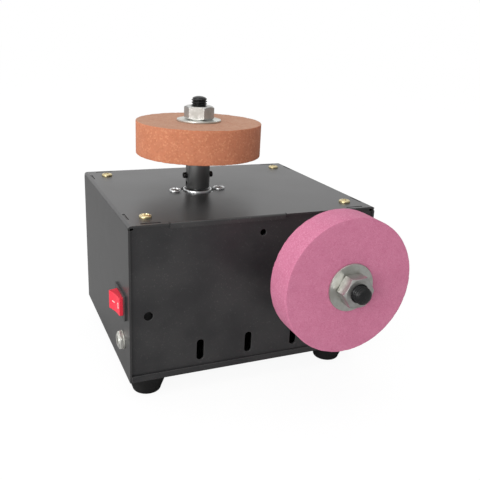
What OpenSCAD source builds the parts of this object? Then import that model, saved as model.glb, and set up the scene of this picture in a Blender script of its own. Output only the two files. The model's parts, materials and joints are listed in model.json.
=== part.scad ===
// Two-wheel DC bench sharpener in a folded sheet housing.
// X runs right along the front, Y to the rear, Z up; the feet stand on z = 0.
// The origin lies under the middle of the overall size.

/* [Housing] */
// Width over the cover's side walls
box_w = 200; // [196:1:212]
// Depth over the cover's front and rear edges
box_d = 170; // [168:1:186]
// Height from the tray's underside to the top sheet
box_h = 122; // [121:1:134]
// Thickness of the cover, panels, tray and brackets
sheet = 1.5; // [1.2:0.1:1.6]
// Outer radius of the cover's two long bends
fold_r = 2.5; // [2:0.1:3]
// Height of the tray's front and rear rims
rim_h = 5; // [3.5:0.5:8]
// Height of the tray's side rims
side_rim_h = 11.5; // [8:0.5:16]
// Height of the turned-down lip at the cover's front edge
lip_h = 4; // [3:0.5:6]
// Width of the lip
lip_w = 90.5; // [60:0.5:96]
// Middle of the lip, left of the box's middle
lip_left = 24.7; // [20:0.1:28]

/* [Front openings] */
// Width of each vent slot
slot_w = 6; // [4.5:0.5:8]
// Height of each vent slot
slot_h = 17.5; // [12:0.5:22]
// Distance between vent slots
slot_pitch = 40; // [30:0.5:42]
// Middle vent slot, left of the box's middle
slot_left = 5; // [0:0.5:8]
// Height of the vent slots' middle above the tray
slot_up = 18; // [16:0.5:22]
// Diameter of the cable hole
cable_hole_d = 7; // [5:0.5:8]
// Cable hole, in from the left wall
cable_hole_in = 14.5; // [12:0.5:18]
// Height of the cable hole above the tray
cable_hole_up = 52; // [46:0.5:62]
// Diameter of the small upper hole
pilot_hole_d = 5; // [3:0.5:6]
// Small upper hole, right of the box's middle
pilot_hole_right = 3; // [0:0.5:6]
// Small upper hole, below the top sheet
pilot_hole_down = 13.5; // [11:0.5:16]

/* [Corner brackets and cover screws] */
// Cover screw, in from the side wall
screw_in_x = 17; // [15:0.5:19]
// Cover screw, in from the front or rear edge
screw_in_y = 18.5; // [17:0.5:20]
// Height of the bracket legs below the top sheet
bracket_h = 22; // [16:0.5:24]
// Length of the bracket leg along the panel
bracket_w = 26; // [24:0.5:27]
// Length of the bracket leg along the side wall
bracket_l = 30; // [29:0.5:34]
// Length of each locating tab
tab_l = 14; // [10:0.5:15]
// Cover screw thread diameter
cover_screw_d = 4; // [3:0.5:4]
// Cover screw head diameter
cover_head_d = 9.2; // [8:0.2:10.4]
// Cover screw head height
cover_head_h = 2.2; // [2:0.1:3]

/* [Feet] */
// Height of each rubber foot
foot_h = 15.5; // [9:0.5:16]
// Foot diameter at the tray
foot_top_d = 31; // [24:0.5:32]
// Foot diameter at the floor
foot_bottom_d = 22; // [19:0.5:22]
// Left feet, in from the left wall
foot_in_left = 16.5; // [14:0.5:22]
// Right feet, in from the right wall
foot_in_right = 23; // [16:0.5:26]
// Feet, in from the front or rear edge
foot_in_y = 15.5; // [13:0.5:18]
// Foot screw thread diameter
foot_screw_d = 4; // [3:0.5:4]

/* [Motors] */
// Motor can diameter
motor_d = 52; // [50:0.5:54]
// Can length
can_l = 70; // [70:0.5:74]
// Diameter of the front bearing boss
boss_d = 24; // [23.6:0.2:25]
// Boss height above the panel
boss_out = 1.5; // [1:0.1:3]
// Diameter of the panel's hole around the boss
boss_hole_d = 28; // [26:0.5:29]
// Distance between the two motor screws
motor_bolts = 39; // [38:0.5:41]
// Motor screw thread diameter
motor_screw_d = 4; // [3:0.5:4]
// Motor screw head diameter
motor_head_d = 9.6; // [7:0.2:10]
// Motor screw head height
motor_head_h = 2.2; // [1.8:0.1:3]
// Motor shaft diameter
shaft_d = 8; // [7.8:0.05:8]
// Upright motor, left of the box's middle
upright_left = 20.5; // [18:0.5:26]
// Upright motor, in front of the box's middle
upright_front = 0; // [-6:0.5:10]
// Side motor, right of the box's middle
side_right = 45; // [42:0.5:52]
// Side motor's axis height above the tray
side_up = 82.5; // [76:0.5:84]

/* [Arbors] */
// Arbor sleeve diameter
sleeve_d = 20; // [18:0.2:20.4]
// Arbor sleeve length
sleeve_l = 27; // [25:0.5:32]
// Thread diameter of the stud
stud_d = 12.7; // [12:0.1:15]
// Thread pitch of the stud
stud_pitch = 2; // [1.5:0.25:2]
// Length of stud beyond the nut
stud_out = 7.8; // [4:0.2:12]
// Height of the stud's rounded end
stud_crown = 3; // [1:0.5:4]
// How much further out the side arbor sits on its shaft
side_set_out = 3; // [0:0.5:4]
// Clamping washer diameter
washer_d = 36; // [30:0.5:40]
// Clamping washer thickness
washer_t = 1.6; // [1.4:0.1:3]
// Nut width across the flats
nut_af = 21.5; // [19:0.5:24]
// Nut height
nut_h = 10.5; // [9:0.5:13]
// Set screw thread diameter
set_screw_d = 5; // [4:0.5:5]
// Upper set screws above the panel
set_up = 13; // [12.5:0.5:16]
// Lower set screws above the panel
set_down = 6.3; // [5.8:0.1:6.6]
// How far the upper set screws stand out
set_out = 2.7; // [1:0.1:3]

/* [Grinding wheels] */
// Diameter of both grinding wheels
wheel_d = 102; // [90:1:104]
// Width of the upright motor's wheel
upright_wheel_w = 26.5; // [16:0.5:28]
// Width of the side motor's wheel
side_wheel_w = 24.5; // [16:0.5:28]
// Width of the dressed edge round each wheel
wheel_edge = 0.5; // [0.4:0.1:1.5]

/* [Rocker switch] */
// Length of the switch bezel
bezel_l = 31; // [25:0.5:32]
// Height of the switch bezel
bezel_w = 20; // [19:0.5:22]
// Thickness of the bezel in front of the wall
bezel_t = 1.5; // [1.2:0.1:2]
// Length of the rocker's face
cap_l = 17.8; // [17:0.1:18]
// Width of the rocker
cap_w = 14; // [13:0.1:14.2]
// Height of the rocker's face above its pivot
cap_h = 8.2; // [7:0.1:8.2]
// Tilt of the rocker to each side
rocker_tilt = 13; // [9:0.5:13]
// Switch, in from the front edge
switch_in = 24; // [23:0.5:30]
// Height of the switch above the tray
switch_up = 56.5; // [50:0.5:60]

/* [Power inlet] */
// Thread diameter of the inlet barrel
jack_d = 11; // [10.5:0.5:12]
// Bore of the inlet
jack_bore_d = 6.4; // [6:0.1:6.6]
// Centre pin diameter
jack_pin_d = 2.1; // [1.8:0.1:2.5]
// Nut width across the flats
jack_nut_af = 13.5; // [13.5:0.5:16]
// Nut height
jack_nut_h = 2.6; // [2:0.1:3]
// Inlet, in from the front edge
jack_in = 22; // [22:0.5:30]
// Height of the inlet above the tray
jack_up = 25.5; // [20:0.5:28]

/* [Hidden] */
fit_run = 0.05;
fit_seat = 0.02;
fit_hole = 0.25;
fit_panel = 0.1;
tilt_turn = -30;
side_turn = 1.5;
top_z = foot_h + box_h;
wall_x = box_w / 2;
edge_y = box_d / 2;
panel_y = edge_y - sheet;
screw_x = wall_x - screw_in_x;
screw_y = edge_y - screw_in_y;
upright_x = -upright_left;
upright_y = -upright_front;
side_x = side_right;
side_z = foot_h + side_up;
pivot_in = 2;
rocker_out = cap_l / 2 * sin(rocker_tilt) + cap_h * cos(rocker_tilt) - pivot_in;
cap_r = cap_l / 2 + 1;
cap_hollow_r = 40;
cap_hollow = 0.8;
bay_l = 2 * cap_r + 0.9;
bay_w = cap_w + 0.5;
switch_body_l = bay_l + 1.4;
switch_body_w = bay_w + 2.7;
switch_deep = 16;
switch_tag_l = 8;
blade_up = 5;
blade_y = 5;
blade_turn = 6;
blade_t = 0.7;
plunger_r = 1.5;
plunger_root = 3;
plunger_reach = (switch_deep - blade_up - pivot_in) * cos(blade_turn) - blade_y * sin(blade_turn)
    - blade_t - plunger_r - 0.3;
switch_y = -edge_y + switch_in;
switch_z = foot_h + switch_up;
jack_y = -edge_y + jack_in;
jack_z = foot_h + jack_up;
jack_washer_t = 0.8;
jack_washer_d = jack_nut_af + 1;
jack_out = jack_washer_t + jack_nut_h + 0.9;
jack_deep = 13;
jack_tag_l = 5;
sleeve_z = boss_out + 1;
seat_z = sleeve_z + sleeve_l;
wheel_z = seat_z + washer_t;
arbor_bore = sleeve_l - 4;
boss_bore_d = 22;
ball_d = 3.97;
ball_ring_d = 15;
bearing_w = 7;
can_t = 2;
front_t = 2.5;
can_z = -sheet;
rear_z = can_z - can_l;
front_bearing_z = boss_out - 0.2 - bearing_w;
rear_bearing_z = rear_z - 8;
magnet_in_d = 36;
core_d = 34;
core_l = 30;
core_up = 22.5;
core_z = rear_z + core_up;
coil_r = 15.5;
coil_hub_r = 5.5;
coil_slot_r = 10.6;
coil_end_l = 6;
core_slots = 12;
comm_d = 14;
comm_z = rear_z + 4.5;
comm_l = 12;
brush_z = comm_z + 5;
brush_w = 5;
brush_t = 6;
tag_r = 16;
tag_t = 0.8;
tag_w = 6;
tag_end = rear_z - 14.5;
front_reach = panel_y + side_set_out + wheel_z + side_wheel_w + washer_t + nut_h + stud_out;
shift_x = rocker_out / 2;
shift_y = (front_reach - edge_y) / 2;
foot_screw_head_d = 8;
foot_screw_head_h = 2.6;
foot_ledge = 5;
nut4_af = 7;
nut4_h = 3.2;
wire_d = 2.2;
wire_sides = 8;
wire_step = 6;
$fn = 64;

// Wire ends, from the tray's underside in the housing's centred frame
switch_tag = [-wall_x + switch_deep + switch_tag_l, -edge_y + switch_in, switch_up];
inlet_tag = [-wall_x + jack_deep + jack_tag_l, -edge_y + jack_in, jack_up];
upright_tag = [upright_x, upright_y, box_h + tag_end];
side_tag = [side_x, -panel_y - tag_end, side_up];
function off(a, p) = [for (q = p) a + q];
function mid(a, b, t, q) = a + t * (b - a) + q;

// Wire routes, each point told from the tags at its two ends
red_feed = concat(off(inlet_tag, [[0.2, 0, 0], [5, -0.5, 2], [8, -3, 10]]),
    off(switch_tag, [[4, -5, -9], [3.5, -5, -1.5], [0.2, -5, 0]]));
red_upright = concat(off(switch_tag, [[0.2, 5, 0], [5, 5.5, 0], [12, 10, -5]]),
    [mid(switch_tag, upright_tag, 0.35, [-1, -1, -8]), mid(switch_tag, upright_tag, 0.65, [-11, -1, -12])],
    off(upright_tag, [[-22, -6, -8.5], [-17.4, -2, -6], [-16.4, -1.3, -0.2]]));
red_side = concat(off(upright_tag, [[-14.6, 1.3, 3], [-14.6, 1.4, -2], [-12, 5, -7.5], [-3, 13, -11]]),
    [mid(upright_tag, side_tag, 0.2, [-2, 21.5, -17]), mid(upright_tag, side_tag, 0.4, [-1.5, 25, -16.5]),
        mid(upright_tag, side_tag, 0.6, [-2.5, 23.5, -9.5])],
    off(side_tag, [[-21, 18.5, -12], [-17, 10.5, -2.5], [-16.4, 4.5, 0], [-16.4, 0.2, 0]]));
black_upright = concat(off(inlet_tag, [[0.2, 4.5, 0], [6, 5, -1], [16, 9, -5]]),
    [mid(inlet_tag, upright_tag, 0.4, [5.5, -4, -13.5]), mid(inlet_tag, upright_tag, 0.65, [8.5, -3, -17])],
    off(upright_tag, [[7, -9, -16], [15.4, -2.2, -7.5], [16.4, -1.3, -0.2]]));
black_side = concat(off(upright_tag, [[14.6, 1.3, 3], [14.6, 1.4, -2], [18, 5, -7]]),
    [mid(upright_tag, side_tag, 0.4, [4.5, 11, -26.5]), mid(upright_tag, side_tag, 0.6, [7.5, 17.5, -31.5])],
    off(side_tag, [[-2, 22.5, -37], [11, 22.5, -20], [16, 14.5, -5], [16.4, 6, 0], [16.4, 0.2, 0]]));

// ---------- shared frames ----------
module place() {
    translate([shift_x, shift_y, 0]) children();
}

// Local frame of each motor: z = 0 on the panel's outer face, +z out along the shaft
module at_upright() {
    place() translate([upright_x, upright_y, top_z]) children();
}

module at_side() {
    place() translate([side_x, -panel_y, side_z]) rotate([90, 0, 0]) children();
}

// The same for what turns with the side arbor, which sits further out
module at_side_arbor() {
    at_side() translate([0, 0, side_set_out]) children();
}

// Local frame on the left wall: z out of the wall, x up, y to the rear
module at_wall(y, z) {
    place() translate([-wall_x, y, z]) rotate([0, -90, 0]) children();
}

module at_corners(x, y) {
    for (sx = [-1, 1])
        for (sy = [-1, 1])
            place() translate([sx * x, sy * y, 0]) mirror([sx < 0 ? 1 : 0, 0, 0])
                mirror([0, sy < 0 ? 1 : 0, 0]) children();
}

module at_feet() {
    for (x = [foot_in_left - wall_x, wall_x - foot_in_right])
        for (y = [foot_in_y - edge_y, edge_y - foot_in_y])
            place() translate([x, y, 0]) children();
}

// ---------- shared shapes ----------
module slab(x0, x1, y0, y1, z0, z1) {
    translate([x0, y0, z0]) cube([x1 - x0, y1 - y0, z1 - z0]);
}

module hole(d, z0, z1) {
    translate([0, 0, z0]) cylinder(d = d, h = z1 - z0);
}

module tube(d_out, d_in, z0, z1) {
    difference() {
        hole(d_out, z0, z1);
        hole(d_in, z0 - 1, z1 + 1);
    }
}

// Threaded rod with ring grooves, from z0 to z1, its end chamfered, or rounded over a crown's height
module thread(d, pitch, z0, z1, crown = 0) {
    deep = 0.54 * pitch;
    turns = floor((z1 - z0 - max(deep, crown)) / pitch);
    tail = crown == 0 ? [[d / 2, z1 - deep], [d / 2 - deep, z1]]
        : [for (a = [0 : 15 : 75]) [d / 2 * cos(a), z1 - crown + crown * sin(a)]];
    grooves = [for (i = [0 : turns - 1], p = [[0, 0.06], [deep, 0.44], [deep, 0.56], [0, 0.94]])
        [d / 2 - p[0], z0 + (i + p[1]) * pitch]];
    rotate_extrude()
        polygon(concat([[0, z0]], grooves, tail, [[0, z1]]));
}

// Hexagon with both ends turned to a cone, as on a machined nut
module hex_body(af, z0, z1) {
    ac = af / cos(30);
    cut = (ac - af) / 2 * 0.6;
    intersection() {
        translate([0, 0, z0]) cylinder(d = ac, h = z1 - z0, $fn = 6);
        rotate_extrude()
            polygon([[0, z0], [af / 2 - 0.3, z0], [ac / 2 + 0.1, z0 + cut + 0.2],
                [ac / 2 + 0.1, z1 - cut - 0.2], [af / 2 - 0.3, z1], [0, z1]]);
    }
}

// Pan head with a crown and a cross recess, seated at z = 0
module pan_head(d, h) {
    difference() {
        rotate_extrude()
            polygon([[0, 0], [d / 2, 0], [d / 2, h * 0.45], [d * 0.46, h * 0.72], [d * 0.36, h * 0.93],
                [d * 0.2, h], [0, h]]);
        for (a = [0, 90])
            rotate([0, 0, a + 20]) slab(-d * 0.26, d * 0.26, -d * 0.06, d * 0.06, h * 0.4, h + 1);
    }
}

module screw(d, length, head_d, head_h) {
    pan_head(head_d, head_h);
    hole(d, -length, 0.1);
}

module round_rect(lx, ly, r, z0, z1) {
    translate([0, 0, z0]) linear_extrude(z1 - z0) {
        square([lx, ly - 2 * r], center = true);
        square([lx - 2 * r, ly], center = true);
        for (x = [-1, 1])
            for (y = [-1, 1])
                translate([x * (lx / 2 - r), y * (ly / 2 - r)]) circle(r);
    }
}

// Wire as one swept tube through the given points
function lerp4(a, b, c, d, t) = 0.5 * (2 * b + (c - a) * t + (2 * a - 5 * b + 4 * c - d) * t * t
    + (3 * b - a - 3 * c + d) * t * t * t);
function path(p, k) = [for (i = [0 : len(p) - 2], j = [0 : (i == len(p) - 2 ? k : k - 1)])
    lerp4(p[max(i - 1, 0)], p[i], p[i + 1], p[min(i + 2, len(p) - 1)], j / k)];
function unit(v) = v / norm(v);
function ring(q, i, r, n) =
    let (t = unit(q[min(i + 1, len(q) - 1)] - q[max(i - 1, 0)]),
        u = unit(cross(t, [0.35, -0.9, 0.26])), v = cross(t, u))
    [for (k = [0 : n - 1]) q[i] + r * (cos(360 * k / n) * u + sin(360 * k / n) * v)];

module wire(points) {
    q = path(points, wire_step);
    n = wire_sides;
    m = len(q);
    pts = [for (i = [0 : m - 1], p = ring(q, i, wire_d / 2, n)) p];
    sides = [for (i = [0 : m - 2], k = [0 : n - 1], f = [0, 1])
        f == 0 ? [i * n + k, i * n + (k + 1) % n, (i + 1) * n + (k + 1) % n]
            : [i * n + k, (i + 1) * n + (k + 1) % n, (i + 1) * n + k]];
    first = [for (k = [n - 1 : -1 : 0]) k];
    last = [for (k = [0 : n - 1]) (m - 1) * n + k];
    place() translate([0, 0, foot_h])
        polyhedron(points = pts, faces = concat(sides, [first, last]), convexity = 10);
}

// ---------- housing ----------
// Cover profile across the front: two walls and a top, bent at both upper corners
module cover_profile() {
    inner_r = fold_r - sheet;
    difference() {
        union() {
            translate([-wall_x, foot_h]) square([box_w, box_h - fold_r]);
            translate([-wall_x + fold_r, foot_h]) square([box_w - 2 * fold_r, box_h]);
            for (s = [-1, 1])
                translate([s * (wall_x - fold_r), top_z - fold_r]) circle(fold_r);
        }
        translate([-wall_x + sheet, foot_h - 1]) square([box_w - 2 * sheet, box_h - fold_r + 1]);
        translate([-wall_x + fold_r, foot_h - 1]) square([box_w - 2 * fold_r, box_h - sheet + 1]);
        for (s = [-1, 1])
            translate([s * (wall_x - fold_r), top_z - fold_r]) circle(inner_r);
    }
}

// Lip bent down from the top sheet's front edge
module front_lip() {
    r_out = sheet + 0.1;
    r_in = r_out - sheet;
    translate([-lip_left - lip_w / 2, 0, 0]) rotate([90, 0, 90]) linear_extrude(lip_w)
        difference() {
            union() {
                translate([-edge_y, top_z - lip_h]) square([sheet, lip_h - r_out]);
                translate([-edge_y + r_out, top_z - sheet]) square([3, sheet]);
                translate([-edge_y + r_out, top_z - r_out]) circle(r_out);
            }
            translate([-edge_y + r_out, top_z - r_out]) circle(r_in);
            translate([-edge_y + r_out, top_z - r_out - 3]) square([3, r_out + 3 - sheet]);
            translate([-edge_y + sheet, top_z - r_out - 3]) square([3, 3]);
        }
}

module motor_panel_holes() {
    hole(boss_hole_d, -sheet - 1, 1);
    for (s = [-1, 1])
        translate([s * motor_bolts / 2, 0, 0]) hole(motor_screw_d + 2 * fit_hole, -sheet - 1, 1);
}

module cover() color([0.12, 0.12, 0.13]) {
    relief = 0.5;
    tab_clear = 0.2;
    difference() {
        place() difference() {
            union() {
                difference() {
                    translate([0, edge_y, 0]) rotate([90, 0, 0]) linear_extrude(box_d)
                        cover_profile();
                    slab(-lip_left - lip_w / 2 - relief, -lip_left + lip_w / 2 + relief,
                        -edge_y - 1, -edge_y + 3, top_z - sheet - 1, top_z + 1);
                }
                front_lip();
            }
            for (s = [-1, 1])
                for (f = [-1, 1])
                    slab(s * wall_x - 4, s * wall_x + 4, f * edge_y - 1, f * edge_y + 1,
                        top_z - sheet - 1.8, top_z - sheet);
            translate([upright_x, upright_y, top_z]) motor_panel_holes();
        }
        at_corners(screw_x, screw_y) hole(cover_screw_d + 2 * fit_hole, top_z - 4, top_z + 1);
        at_corners(screw_x, 0)
            slab(-tab_l / 2 - tab_clear, tab_l / 2 + tab_clear, panel_y - 2 * sheet - tab_clear,
                panel_y - sheet + tab_clear, top_z - 4, top_z + 1);
        at_corners(0, screw_y)
            slab(wall_x - sheet - 2.75 - tab_clear, wall_x - 2.75 + tab_clear,
                -tab_l / 2 - 4 - tab_clear, tab_l / 2 - 4 + tab_clear, top_z - 4, top_z + 1);
        at_wall(switch_y, switch_z)
            slab(-switch_body_w / 2 - 0.2, switch_body_w / 2 + 0.2, -switch_body_l / 2 - 0.2,
                switch_body_l / 2 + 0.2, -4, 1);
        at_wall(jack_y, jack_z) hole(jack_d + 0.3, -4, 1);
    }
}

// Flat panel with notched upper corners that clear the cover's bends
module panel_blank() {
    notch_w = 2.4;
    notch_h = 2.2;
    half = wall_x - sheet - fit_panel;
    difference() {
        slab(-half, half, -panel_y, -panel_y + sheet, foot_h + sheet, top_z - sheet);
        for (s = [-1, 1])
            slab(s * half - notch_w, s * half + notch_w, -panel_y - 1, -panel_y + sheet + 1,
                top_z - sheet - notch_h, top_z);
        for (i = [-1 : 1])
            translate([i * slot_pitch - slot_left, -panel_y + sheet + 1,
                foot_h + slot_up]) rotate([90, 0, 0]) {
                slab(-slot_w / 2, slot_w / 2, -(slot_h - slot_w) / 2, (slot_h - slot_w) / 2, 0, 4);
                for (s = [-1, 1])
                    translate([0, s * (slot_h - slot_w) / 2, 0]) cylinder(d = slot_w, h = 4);
            }
    }
}

module front_panel() color([0.1, 0.1, 0.11]) place() {
    difference() {
        panel_blank();
        translate([side_x, -panel_y, side_z]) rotate([90, 0, 0]) motor_panel_holes();
        translate([cable_hole_in - wall_x, -panel_y + 4, foot_h + cable_hole_up]) rotate([90, 0, 0])
            cylinder(d = cable_hole_d, h = 8);
        translate([pilot_hole_right, -panel_y + 4, top_z - pilot_hole_down]) rotate([90, 0, 0])
            cylinder(d = pilot_hole_d, h = 8);
    }
}

module rear_panel() color([0.1, 0.1, 0.11]) place() {
    mirror([0, 1, 0]) panel_blank();
}

module base_tray() color([0.1, 0.1, 0.11]) {
    half = wall_x - sheet - fit_panel;
    difference() {
        place() union() {
            slab(-half, half, -edge_y, edge_y, foot_h, foot_h + sheet);
            for (s = [0, 1])
                mirror([0, s, 0]) slab(-half, half, -edge_y, -panel_y, foot_h, foot_h + rim_h);
            for (s = [0, 1])
                mirror([s, 0, 0]) slab(-half, -half + sheet, -panel_y + sheet + 0.5,
                    panel_y - sheet - 0.5, foot_h, foot_h + side_rim_h);
        }
        at_feet() hole(foot_screw_d + 2 * fit_hole, foot_h - 1, foot_h + 3);
    }
}

// Folded corner bracket: an ear under the top sheet, a leg on the panel, a leg by the side wall
module corner_brackets() color([0.13, 0.13, 0.14]) {
    ear_z = top_z - 2 * sheet;
    leg_y = panel_y - sheet;
    leg_x = wall_x - 2.75;
    collar_d = cover_screw_d + 4;
    at_corners(0, 0) difference() {
        union() {
            slab(leg_x - bracket_w, leg_x, leg_y - bracket_l, leg_y, ear_z, top_z - sheet);
            slab(leg_x - bracket_w, leg_x - 2, leg_y - sheet, leg_y, top_z - bracket_h,
                top_z - sheet);
            slab(leg_x - sheet, leg_x, leg_y - bracket_l, leg_y - 2, top_z - bracket_h,
                top_z - sheet);
            slab(screw_x - tab_l / 2, screw_x + tab_l / 2, leg_y - sheet, leg_y, ear_z, top_z - 0.3);
            slab(leg_x - sheet, leg_x, screw_y - 4 - tab_l / 2, screw_y - 4 + tab_l / 2, ear_z,
                top_z - 0.3);
            translate([screw_x, screw_y, 0]) hole(collar_d, ear_z - 4, ear_z + 0.1);
        }
        translate([screw_x, screw_y, 0]) hole(cover_screw_d + 2 * fit_seat, ear_z - 5, top_z);
    }
}

module cover_screws() color([0.78, 0.62, 0.25]) {
    at_corners(screw_x, screw_y) translate([0, 0, top_z])
        screw(cover_screw_d, 8, cover_head_d, cover_head_h);
}

// ---------- feet ----------
module rubber_feet() color([0.05, 0.05, 0.05]) {
    r0 = foot_bottom_d / 2;
    r1 = foot_top_d / 2;
    e = 2;
    at_feet() difference() {
        rotate_extrude() {
            polygon([[0, 0], [r0 - e, 0], [r0 - e, e], [r0, e], [r1, foot_h - 1.5], [r1, foot_h],
                [0, foot_h]]);
            intersection() {
                translate([r0 - e, e]) circle(e);
                translate([r0 - e, 0]) square([e, e]);
            }
        }
        hole(foot_screw_head_d + 2, -1, foot_ledge);
        hole(foot_screw_d + 0.4, 0, foot_h + 1);
    }
}

module foot_screws() color([0.75, 0.75, 0.77]) {
    at_feet() translate([0, 0, foot_ledge]) mirror([0, 0, 1])
        screw(foot_screw_d, foot_h - foot_ledge + sheet + nut4_h + 1, foot_screw_head_d,
            foot_screw_head_h);
}

module foot_nuts() color([0.75, 0.75, 0.77]) {
    at_feet() difference() {
        hex_body(nut4_af, foot_h + sheet, foot_h + sheet + nut4_h);
        hole(foot_screw_d + 2 * fit_seat, foot_h, foot_h + sheet + nut4_h + 1);
    }
}

// ---------- rocker switch ----------
module switch_housing() color([0.08, 0.08, 0.09]) {
    floor_z = -switch_deep + 3.6;
    at_wall(switch_y, switch_z) difference() {
        union() {
            round_rect(bezel_w, bezel_l, 1.5, 0, bezel_t);
            slab(-switch_body_w / 2, switch_body_w / 2, -switch_body_l / 2, switch_body_l / 2,
                -switch_deep, 0.1);
            for (s = [0, 1])
                mirror([0, s, 0]) translate([-3, 0, 0]) rotate([90, 0, 90]) linear_extrude(6)
                    polygon([[switch_body_l / 2 - 0.1, -sheet - 0.1],
                        [switch_body_l / 2 + 0.9, -sheet - 0.1], [switch_body_l / 2 - 0.1, -6]]);
        }
        slab(-bay_w / 2, bay_w / 2, -bay_l / 2, bay_l / 2, floor_z, bezel_t + 1);
        translate([-switch_body_w / 2 + 0.4, 0, -pivot_in]) rotate([0, 90, 0])
            cylinder(r = 1.5 + fit_run, h = switch_body_w - 0.8);
        for (s = [-1, 1])
            translate([0, s * blade_y, 0])
                slab(-2.5, 2.5, -0.45, 0.45, -switch_deep - 1, floor_z + 1);
    }
}

module switch_rocker() color([0.85, 0.08, 0.08]) {
    a = cap_l / 2;
    side = [[a, cap_h], [cap_r - 0.3, 2.4], [cap_r - 0.1, -0.5], [cap_r - 1.4, -3]];
    at_wall(switch_y, switch_z) translate([0, 0, -pivot_in]) rotate([rocker_tilt, 0, 0]) {
        translate([-cap_w / 2, 0, 0]) rotate([90, 0, 90]) linear_extrude(cap_w)
            difference() {
                polygon(concat(side, [for (i = [3 : -1 : 0]) [-side[i][0], side[i][1]]]));
                translate([0, cap_h + cap_hollow_r - cap_hollow]) circle(cap_hollow_r, $fn = 128);
            }
        translate([-switch_body_w / 2 + 0.6, 0, 0]) rotate([0, 90, 0])
            cylinder(r = 1.5, h = switch_body_w - 1.2);
    }
}

module switch_plunger() color([0.85, 0.85, 0.82]) {
    at_wall(switch_y, switch_z) translate([0, 0, -pivot_in]) rotate([rocker_tilt, 0, 0])
        translate([0, 0, -plunger_reach]) {
            cylinder(r = plunger_r, h = plunger_reach - plunger_root);
            sphere(r = plunger_r);
            translate([0, 0, plunger_reach - plunger_root - 1]) cylinder(r = plunger_r + 0.7, h = 1);
        }
}

module switch_contact() color([0.72, 0.45, 0.2]) {
    at_wall(switch_y, switch_z) translate([0, blade_y, -switch_deep + blade_up])
        rotate([-blade_turn, 0, 0])
            slab(-2.2, 2.2, -2 * blade_y - 1, 0.6, 0.05, blade_t + 0.05);
}

module switch_terminals() color([0.8, 0.78, 0.7]) {
    at_wall(switch_y, switch_z)
        for (s = [-1, 1])
            translate([0, s * blade_y, 0])
                slab(-2.4, 2.4, -0.4, 0.4, -switch_deep - switch_tag_l,
                    -switch_deep + blade_up - 0.1);
}

// ---------- power inlet ----------
module inlet_body() color([0.6, 0.6, 0.62]) {
    at_wall(jack_y, jack_z) difference() {
        union() {
            thread(jack_d, 1, -sheet, jack_out);
            hole(jack_nut_af + 1, -sheet - 2, -sheet);
            hole(jack_d + 1.5, -jack_deep, -sheet - 1);
        }
        hole(jack_bore_d, -jack_deep + 5, jack_out + 1);
        hole(jack_pin_d + 2 * fit_seat, -jack_deep - 1, 0);
        slab(-2.1, 2.1, 4.1, 5, -jack_deep - 1, -jack_deep + 7);
    }
}

module inlet_nut() color([0.82, 0.83, 0.84]) {
    at_wall(jack_y, jack_z) difference() {
        hex_body(jack_nut_af, jack_washer_t, jack_washer_t + jack_nut_h);
        hole(jack_d + 2 * fit_seat, 0, jack_out + 1);
    }
}

module inlet_washer() color([0.7, 0.71, 0.72]) {
    at_wall(jack_y, jack_z) tube(jack_washer_d, jack_d + 0.3, 0, jack_washer_t);
}

module inlet_contacts() color([0.8, 0.78, 0.7]) {
    at_wall(jack_y, jack_z) {
        hole(jack_pin_d, -jack_deep, jack_out - 1.2);
        slab(-2, 2, -0.4, 0.4, -jack_deep - jack_tag_l, -jack_deep);
        slab(-2, 2, 4.15, 4.95, -jack_deep - jack_tag_l, -jack_deep + 6.5);
    }
}

// ---------- motor parts, in the motor's local frame ----------
module motor_can() color([0.55, 0.56, 0.58]) {
    r = motor_d / 2;
    lip_z = front_bearing_z - 1.5;
    difference() {
        rotate_extrude()
            polygon([[7, lip_z], [boss_d / 2, lip_z], [boss_d / 2, can_z - front_t],
                [r - can_t, can_z - front_t], [r - can_t, rear_z], [r, rear_z], [r, can_z - 1],
                [r - 1, can_z], [boss_d / 2, can_z], [boss_d / 2, boss_out - 0.5],
                [boss_d / 2 - 0.5, boss_out], [boss_bore_d / 2 + fit_seat, boss_out],
                [boss_bore_d / 2 + fit_seat, front_bearing_z], [7, front_bearing_z]]);
        for (s = [-1, 1])
            translate([s * motor_bolts / 2, 0, 0])
                hole(motor_screw_d + 2 * fit_seat, can_z - front_t - 1, can_z + 1);
    }
}

module end_bell() color([0.15, 0.15, 0.16]) {
    r = motor_d / 2;
    r_in = r - can_t - fit_seat;
    hub_z = rear_bearing_z - 1.5;
    difference() {
        union() {
            rotate_extrude()
                polygon([[0, hub_z], [12.5, hub_z], [13.3, hub_z + 0.8], [13.3, rear_z - 3],
                    [r, rear_z - 3], [r, rear_z], [r_in, rear_z], [r_in, rear_z + 3],
                    [r_in - 2, rear_z + 3], [r_in - 2, rear_z], [11 + fit_seat, rear_z],
                    [11 + fit_seat, rear_bearing_z], [0, rear_bearing_z]]);
            for (s = [0, 1])
                rotate([0, 0, 180 * s])
                    slab(11.5, tag_r - 0.4, -4, 4, rear_z - 0.1, brush_z - 4.5);
        }
        for (s = [-1, 1])
            slab(s * (tag_r + tag_t / 2) - 0.6, s * (tag_r + tag_t / 2) + 0.6, -tag_w / 2 - 0.2,
                tag_w / 2 + 0.2, rear_z - 4, rear_z + 1);
    }
}

module magnets() color([0.25, 0.25, 0.27]) {
    h = core_l + 6;
    difference() {
        translate([0, 0, core_z - 3]) difference() {
            cylinder(r = motor_d / 2 - can_t - fit_seat, h = h);
            translate([0, 0, -1]) cylinder(d = magnet_in_d, h = h + 2);
        }
        for (s = [0, 1])
            rotate([0, 0, 180 * s]) translate([0, 0, core_z - 4]) linear_extrude(h + 2)
                polygon([[0, 0], [0.4 * motor_d, motor_d], [-0.4 * motor_d, motor_d]]);
    }
}

module bearing_outer(z) {
    mid = z + bearing_w / 2;
    rotate_extrude() difference() {
        translate([6.5, z]) square([4.5, bearing_w]);
        translate([6, z + 0.5]) square([3.4, bearing_w - 1]);
        translate([ball_ring_d / 2, mid]) circle(ball_d / 2 + 0.05);
    }
}

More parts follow.
